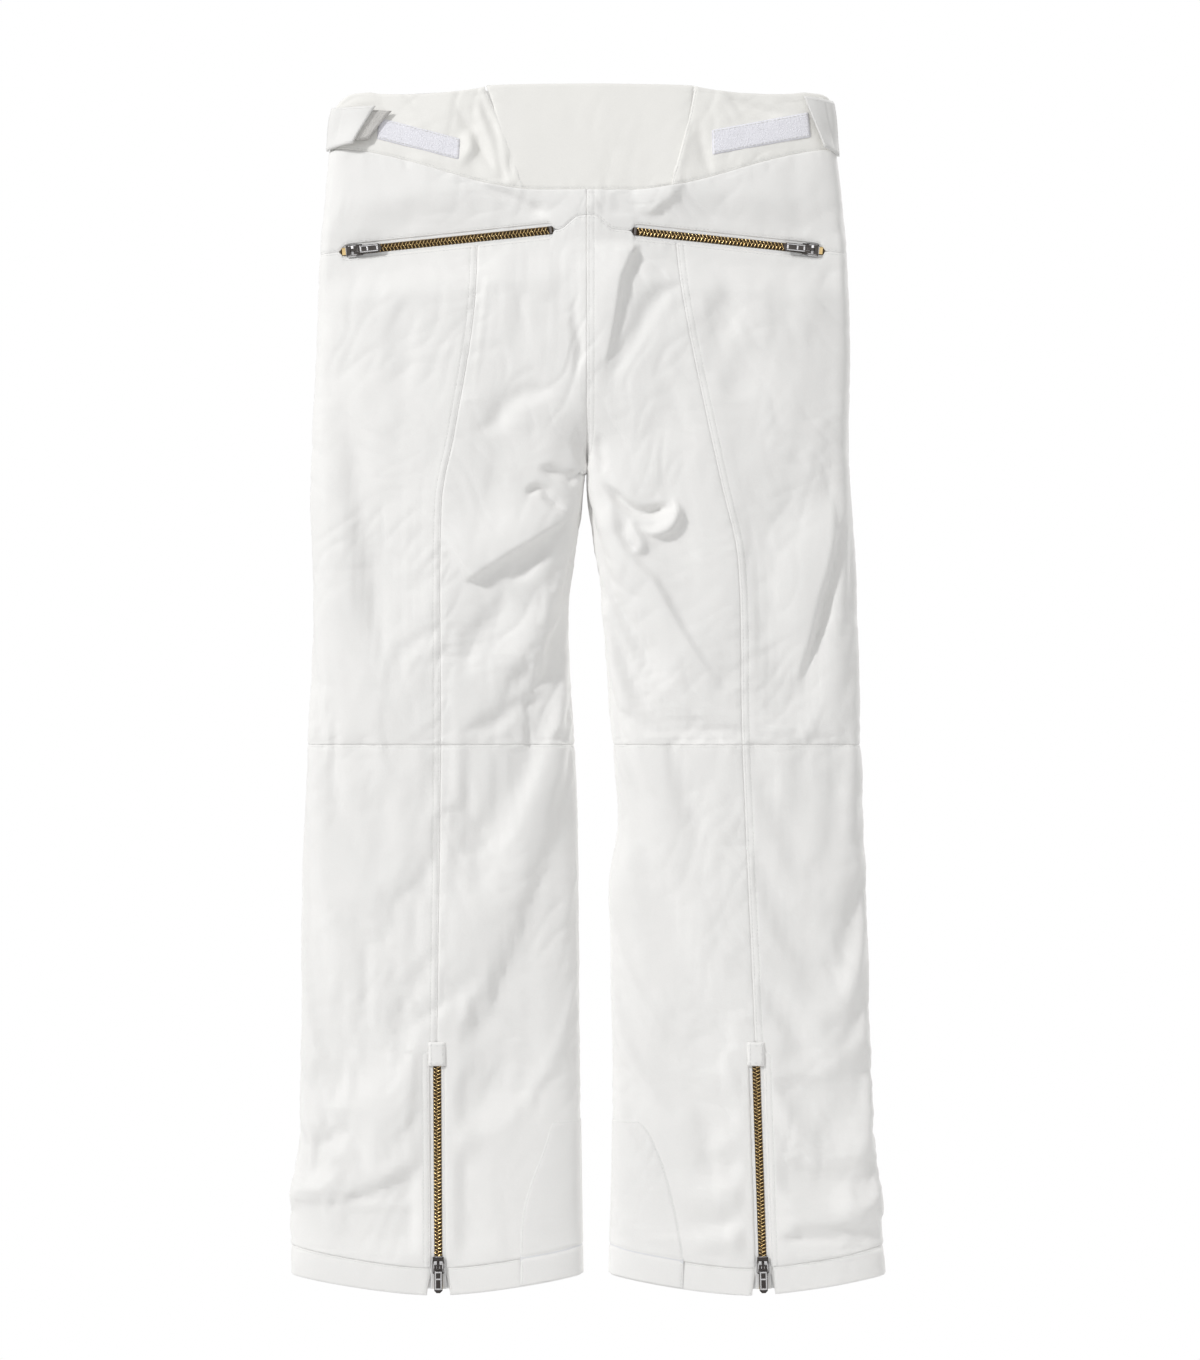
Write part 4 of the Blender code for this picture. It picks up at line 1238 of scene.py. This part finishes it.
def zip_set(name, start, end, outward, slider_at, way, side=None):
    """A zip's chain, its slider and its pull, which lies toward way along the zip."""
    axes = zip_axes(start, end - start, outward)
    zip_chain(name, axes, (end - start).length, side)
    here = axes @ Matrix.Translation((slider_at, 0, 0))
    # The fly's pull lies under the flap, so its rim is low
    proud = 0.0002 if name == "fly" else 0.0007
    face_out(metal_detail(f"{name}_slider_shell", f"{name}_slider", slider_shell(), here, 0.0002, True))
    metal_detail(f"{name}_pull_frame", f"{name}_pull", pull_frame(way, proud), here, 0.0003)
    # The bodies take the near-black copy of the nickel as painted shade, so the bright nickel shell and rim
    # stand out on them.
    polish(f"{name}_slider", SHADED_NICKEL)
    polish(f"{name}_pull", SHADED_NICKEL, 0.0003)


def pocket_zip(side):
    in_x, out_x = side.pocket

    def point(x):
        return Vector((side.sign * x, pocket_depth_at(side, x), pocket_height(x)))

    outward = Vector((side.sign * POCKET_LEAN / (out_x - in_x), 1, 0))
    zip_set(f"pocket_{side.tag}", point(out_x), point(in_x), outward, 0.0105, 1)


def calf_zip(side):
    top, bottom = side.calf_zip
    start = Vector((side.sign * bottom, CALF_ZIP_DEPTH, CALF_ZIP_BOTTOM))
    end = Vector((side.sign * top, CALF_ZIP_DEPTH, CALF_ZIP_TOP))
    # The chain stops a little short of the top of its opening
    end = start + (end - start) * 0.985
    zip_set(f"calf_{side.tag}", start, end, Vector((0, 1, 0)), 0.0205, -1, side)


# Small sewn pieces


def flat_cloth(name, points, normals, thickness, outside, inside, node_name, body):
    """A thin closed piece from a grid of its middle points, on a body and in place of a CAD node."""
    outer = points + normals * (thickness / 2)
    inner = points - normals * (thickness / 2)
    piece = cloth_mesh(name, points, distances(points), (outer, inner), outside, inside)
    enrol(piece, node_name)
    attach(piece, body)


def stitch_rows(points, normal, rows, cols, group):
    """Stitches along some rows and some columns of a small piece's outer face."""
    for row in rows:
        stitches_along(points[row], normal[row], group)
    for col in cols:
        stitches_along(points[:, col], normal[:, col], group)


def rounded_down(share, width, drop):
    """Brings the edges of a piece down, over a share of its width at each end."""
    edge = np.minimum(share, 1 - share) / width
    return -drop * (1 - np.sqrt(np.clip(1 - (1 - np.clip(edge, 0, 1)) ** 2, 0, 1)))


def loop_strip(side):
    """The loop tape the adjuster tab grips, sewn aslant on the waistband."""
    if side is LEFT:
        in_x, out_x, slope, high, tall = 0.109, 0.180, 0.266, -0.0485, 0.0185
    else:
        in_x, out_x, slope, high, tall = 0.107, 0.192, 0.193, -0.0410, 0.0215
    x, t = np.meshgrid(np.linspace(in_x, out_x, 45), np.linspace(0, 1, 13))
    z = high + slope * (x - in_x) - tall * t
    u = np.interp(x.ravel(), *x_to_u(side, -0.045)).reshape(x.shape)
    base = place(side, u, z)
    normal = surface_normals(base, side.sign)
    stand = 0.5 * relief(side, base, u) + 0.0011
    stand = stand + rounded_down(t, 0.12, 0.0007) + rounded_down((x - in_x) / (out_x - in_x), 0.03, 0.0007)
    points = base + normal * stand[..., None]
    flat_cloth(f"loop_strip_{side.tag}", points, normal, 0.0013, LOOPS, LOOPS,
               f"adjuster_strip_{side.tag}", "pelvis")
    stitch_rows(points + normal * 0.0007, normal, (1, -2), (1,), "pelvis")


def x_to_u(side, z):
    """Tables of x and u over the back at a height, for np.interp."""
    u = np.linspace(0, 2, 201)
    return abs(place(side, u, np.full_like(u, z))[..., 0]), u


def tab_points(side, rows, cols, hook=False):
    """The adjuster tab's middle surface: it leaves the side seam flat and its free end lifts and slants."""
    if side is LEFT:
        tip_top, tip_low, lift = 1.475, 1.60, 0.0055
        z_top, z_low = (-0.0205, -0.0215), (-0.0575, -0.0535)
    else:
        tip_top, tip_low, lift = 1.60, 1.72, 0.0030
        z_top, z_low = (-0.0150, -0.0120), (-0.0620, -0.0560)
    s, t = np.meshgrid(np.linspace(0.03, 1, cols), np.linspace(0, 1, rows))
    if hook:
        reach = 1.22 if side is LEFT else 0.98
        s, t = np.meshgrid(np.linspace(0.50, reach, cols), np.linspace(0.10, 0.90, rows))
    tip = tip_top + (tip_low - tip_top) * t
    u = 1.965 + (tip - 1.965) * s
    top = z_top[0] + (z_top[1] - z_top[0]) * s
    low = z_low[0] + (z_low[1] - z_low[0]) * s
    z = top + (low - top) * t
    base = place(side, u, z)
    normal = surface_normals(base, -side.sign)
    stand = 0.0034 + lift * ease((s - 0.35) / 0.65) ** 1.3 + 0.0006 * np.sin(5 * t + 3 * s)
    stand = stand - 0.6 * lift * ease((s - 0.96) / 0.26)
    if hook:
        stand = stand - 0.0015
    else:
        stand = stand + rounded_down(t, 0.10, 0.0005) + rounded_down(np.clip(1.5 - s, 0, 1), 0.04, 0.0004)
    return base + normal * stand[..., None], normal


def adjuster(side):
    body = f"tab_{side.tag}"
    points, normal = tab_points(side, 19, 33)
    flat_cloth(f"tab_{side.tag}_cloth", points, normal, 0.0019, TAB, PATCH,
               f"adjuster_tab_{side.tag}", body)
    stitch_rows(points + normal * 0.00095, normal, (1, -2), (-2, 2), body)
    points, normal = tab_points(side, 9, 13, hook=True)
    flat_cloth(f"hook_{side.tag}_tape", points, normal, 0.0010, HOOKS, HOOKS,
               f"adjuster_hook_{side.tag}", body)


scuff_edge = {
    "left": smooth_through([(-0.8895, 0.024), (-0.893, 0.0300), (-0.911, 0.0360), (-0.971, 0.0550),
                            (-1.036, 0.0574)]),
    "right": smooth_through([(-0.8895, 0.043), (-0.902, 0.0540), (-0.941, 0.0690), (-1.005, 0.0820),
                             (-1.036, 0.0820)]),
}


def hem_line(grid):
    """The hem's seam, which shows through the guard over it."""
    above = grid.base[..., 2] - hem_seam(grid.side, abs(grid.base[..., 0]), grid.base[..., 1] < 0)
    return -0.0011 * np.exp(-((above / 0.0013) ** 2))


def scuff_guard(side):
    sewn_panel("scuff_guard", side, (3.62, 5.0), at_height(-0.8905), hem_bottom,
               ("free", "plain", "free", "free"), "shin", "calf_inner", finish=PATCH, thickness=0.0007,
               lift=0.0015, step=1.7 * MM, east_x=scuff_edge[side.tag], extra=hem_line,
               low_shift=lambda x: np.full_like(x, 0.0015))


def inner_panel(name, side, u_range, upper, lower, where, rests_on, depth, thickness, nodes=None):
    """A plain piece of lining behind the shell, which follows the shell's folds."""
    sewn_panel(name, side, u_range, upper, lower, ("fold", "fold", "fold", "fold"), where, rests_on, nodes,
               LINING, lift=-depth, thickness=thickness, step=6 * MM)


def snow_gaiter(side):
    """The elastic cuff inside the leg: gathered lining with a rubbery hem band."""
    rows, cols = 26, 200
    gathers, fullness = 44, 1.15
    top, bottom = -0.905, -1.012
    around = np.linspace(0, 4, cols, endpoint=False)
    z, u = np.meshgrid(np.linspace(top, bottom, rows), around, indexing="ij")
    share = (top - z) / (top - bottom)
    ripple = np.sin(u * math.pi / 2 * gathers + 2.5 * lattice_noise(u * 5, z * 20, 41))
    depth = 0.0090 + 0.0007 * ripple * ease(share / 0.35) + 0.0006 * ease((share - 0.8) / 0.1)
    outer = place(side, u, z, depth)
    inner = place(side, u, z, depth + 0.0009)
    count = rows * cols
    skin = tube_faces(rows, cols)
    rim = np.concatenate([np.arange(cols), np.arange(count - cols, count)])
    after = np.concatenate([np.roll(end, -1) for end in np.split(rim, 2)])
    edges = np.stack([rim, rim + count, after + count, after], -1)
    faces = np.concatenate([skin, skin[:, ::-1] + count, edges])
    points = np.concatenate([outer.reshape(-1, 3), inner.reshape(-1, 3)])
    piece = face_out(make_mesh(f"gaiter_{side.tag}_cloth", points, faces, [LINING], uv=points[:, [0, 2]]))
    enrol(piece, f"snow_gaiter_{side.tag}")
    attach(piece, f"shin_{side.tag}")


def garage(side):
    """The stitched cloth tab over the top end of the calf zip."""
    x = side.sign * side.calf_zip[0]
    top = Vector((x, CALF_ZIP_DEPTH, CALF_ZIP_TOP + 0.001))
    axes = zip_axes(top, Vector((0, 0, 1)), Vector((0, 1, 0)))
    rows, cols = 15, 13
    s, t = np.meshgrid(np.linspace(0, 1, rows), np.linspace(0, 1, cols), indexing="ij")
    a, b = 0.0085 - 0.0205 * s, 0.0146 * t - 0.0073
    rise = 0.0019 + 0.0006 * (1 - (2 * t - 1) ** 2)
    rise = rise + rounded_down(s, 0.12, 0.0011) + rounded_down(t, 0.16, 0.0011)
    points = moved(np.stack([a, b, rise], -1).reshape(-1, 3), axes).reshape(rows, cols, 3)
    normal = np.broadcast_to(np.array([0.0, 1.0, 0.0]), points.shape)
    flat_cloth(f"garage_{side.tag}_cloth", points, normal, 0.0012, SHELL, SHELL, f"zip_garage_{side.tag}",
               f"shin_{side.tag}")
    stitch_rows(points + normal * 0.0007, normal, (2, -3), (2, -3), f"garage_{side.tag}")


def fly_point(z):
    return Vector((0, -fly_depth_at(z), z))


def fly():
    """The front zip, the flap over it with its curved foot, and the snap."""
    start, end = fly_point(FLY_TOP), fly_point(FLY_BOTTOM)
    zip_set("fly", start, end, Vector((0, -1, 0)), 0.012, 1)
    axes = zip_axes(fly_point(-0.006), end - start, Vector((0, -1, 0)))
    x, y = np.meshgrid(np.linspace(0, 0.216, 60), np.linspace(-0.0220, 0.0200, 24), indexing="ij")
    foot = np.clip((x - 0.192) / 0.024, 0, 1)
    y = np.where(y < 0.01, 0.01 + (y - 0.01) * (1 - 0.55 * foot**2), y)
    height = 0.0072 - 0.0030 * ease((-0.012 - y) / 0.010) - 0.0058 * ease((y - 0.0125) / 0.0075)
    height = height + 0.0003 * lattice_noise(x / 0.02, y / 0.012, 61)
    points = moved(np.stack([x, y, height], -1).reshape(-1, 3), axes).reshape(*x.shape, 3)
    normal = surface_normals(points)
    normal *= np.sign(-normal[..., 1:2].mean())
    flat_cloth("fly_flap_cloth", points, normal, 0.0016, SHELL, LINING, "fly_flap", "fly_flap")
    stitch_rows(points + normal * 0.0008, normal, (1,), (1, 4, -2), "fly_flap")
    polish("snap_cap", NICKEL, 0.0007)
    polish("snap_socket", NICKEL, 0.0005)


for side in SIDES:
    pocket_zip(side)
    calf_zip(side)
    garage(side)
    loop_strip(side)
    adjuster(side)
    scuff_guard(side)
    inner_panel("gusset", side, (0.78, 1.22), at_height(CALF_ZIP_TOP + 0.008),
                at_height(CALF_ZIP_BOTTOM + 0.008), "shin", "calf_outer", 0.0050, 0.0007, ["calf_gusset"])
    inner_panel("pocket_bag", side, (0.5, 1.55), pocket_line, at_height(-0.300), "pelvis", "back_yoke",
                0.0042, 0.0016)
    snow_gaiter(side)
fly()


def all_thread():
    """The stitches of each group as one mesh, on the body that its cloth rides; a leg's stay where they
    are, their transform baked into their points.
    """
    for group, runs in thread.items():
        piece = thread_mesh(f"stitches_{group}", runs, THREAD)
        enrol(piece)
        if group.startswith("leg_"):
            bend_at_knee(piece)
        elif group.startswith("garage_"):
            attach(piece, group.replace("garage", "shin"))
        else:
            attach(piece, group)


all_thread()


# Light, camera and floor


def light_up_world():
    """White to the camera, an even white room for the cloth, and bands for the metal to reflect."""
    world = bpy.data.worlds.new("studio")
    bpy.context.scene.world = world
    world.use_nodes = True
    tree = world.node_tree
    white = (1.0, 1.0, 1.0, 1)
    room = tree.nodes["Background"]
    feed(tree, room, {"Color": white, "Strength": 0.605})
    way = node(tree, "ShaderNodeTexCoord").outputs["Generated"]
    up = node(tree, "ShaderNodeSeparateXYZ", {0: way}).outputs["Z"]
    bands = node(tree, "ShaderNodeValToRGB", {"Fac": maths(tree, "MULTIPLY_ADD", up, 0.5, 0.5)})
    ramp = bands.color_ramp
    ramp.elements[0].position, ramp.elements[0].color = 0.30, (0.02, 0.02, 0.02, 1)
    ramp.elements[1].position, ramp.elements[1].color = 0.62, (1.5, 1.5, 1.5, 1)
    for at, level in ((0.42, 0.62), (0.50, 0.24), (0.75, 0.35)):
        ramp.elements.new(at).color = (level, level, level, 1)
    gloss = node(tree, "ShaderNodeBackground", {"Color": bands.outputs["Color"]})
    seen = node(tree, "ShaderNodeBackground", {"Color": white})
    ray = node(tree, "ShaderNodeLightPath").outputs
    look = room.outputs[0]
    for where, other in (("Is Glossy Ray", gloss), ("Is Camera Ray", seen)):
        mix = {0: ray[where], 1: look, 2: other.outputs[0]}
        look = node(tree, "ShaderNodeMixShader", mix).outputs[0]
    tree.links.new(look, tree.nodes["World Output"].inputs["Surface"])


def hang_lamps():
    """The key from above on the left of the back, a weak fill against it, and a pair for the front."""
    middle = Vector((0, 0, -0.5))
    for name, place_at, energy, size in (
        ("key", (4.0, 3.0, 2.9), 196.0, 0.62), ("fill", (-3.2, 2.4, -0.4), 8.0, 2.4),
        ("front_key", (-2.2, -1.7, 1.4), 44.0, 0.5), ("side_fill", (2.4, -2.4, -0.4), 4.0, 2.0),
    ):
        light = bpy.data.lights.new(name, "AREA")
        light.energy = energy
        light.size = size
        lamp = bpy.data.objects.new(name, light)
        lamp.location = place_at
        lamp.rotation_euler = (middle - Vector(place_at)).to_track_quat("-Z", "Y").to_euler()
        bpy.context.scene.collection.objects.link(lamp)


def lay_floor():
    """A round of matt paper under the pants, which throws light back up at the legs."""
    sides, radius, height = 96, 1.0, -1.30
    mesh = bpy.data.meshes.new("floor")
    turns = [2 * math.pi * k / sides for k in range(sides)]
    rim = [(radius * math.cos(a), radius * math.sin(a), height) for a in turns]
    mesh.from_pydata(rim, [], [tuple(range(sides))])
    floor = bpy.data.objects.new("floor", mesh)
    finish = new_material("floor_paper", (0.82, 0.82, 0.82), 0.9)
    tree = finish.node_tree
    grain = noise(tree, node(tree, "ShaderNodeTexCoord").outputs["Object"], 30.0, 4.0)
    bumps = node(tree, "ShaderNodeBump", {"Strength": 0.05, "Distance": 0.002, "Height": grain})
    feed(tree, tree.nodes["Principled BSDF"], {"Normal": bumps.outputs["Normal"]})
    mesh.materials.append(finish)
    bpy.context.scene.collection.objects.link(floor)


def set_camera():
    """A long lens square on to the back."""
    scene = bpy.context.scene
    camera = bpy.data.cameras.new("camera")
    camera.lens = 100
    camera.sensor_width = 36
    camera.clip_end = 60
    eye = bpy.data.objects.new("camera", camera)
    eye.location = (-0.0111, 3.26, -0.5125)
    eye.rotation_euler = (math.pi / 2, 0, math.pi)
    scene.collection.objects.link(eye)
    scene.camera = eye
    scene.view_settings.view_transform = "Standard"
    scene.view_settings.look = "None"
    scene.view_settings.exposure = 0.0


light_up_world()
hang_lamps()
lay_floor()
set_camera()
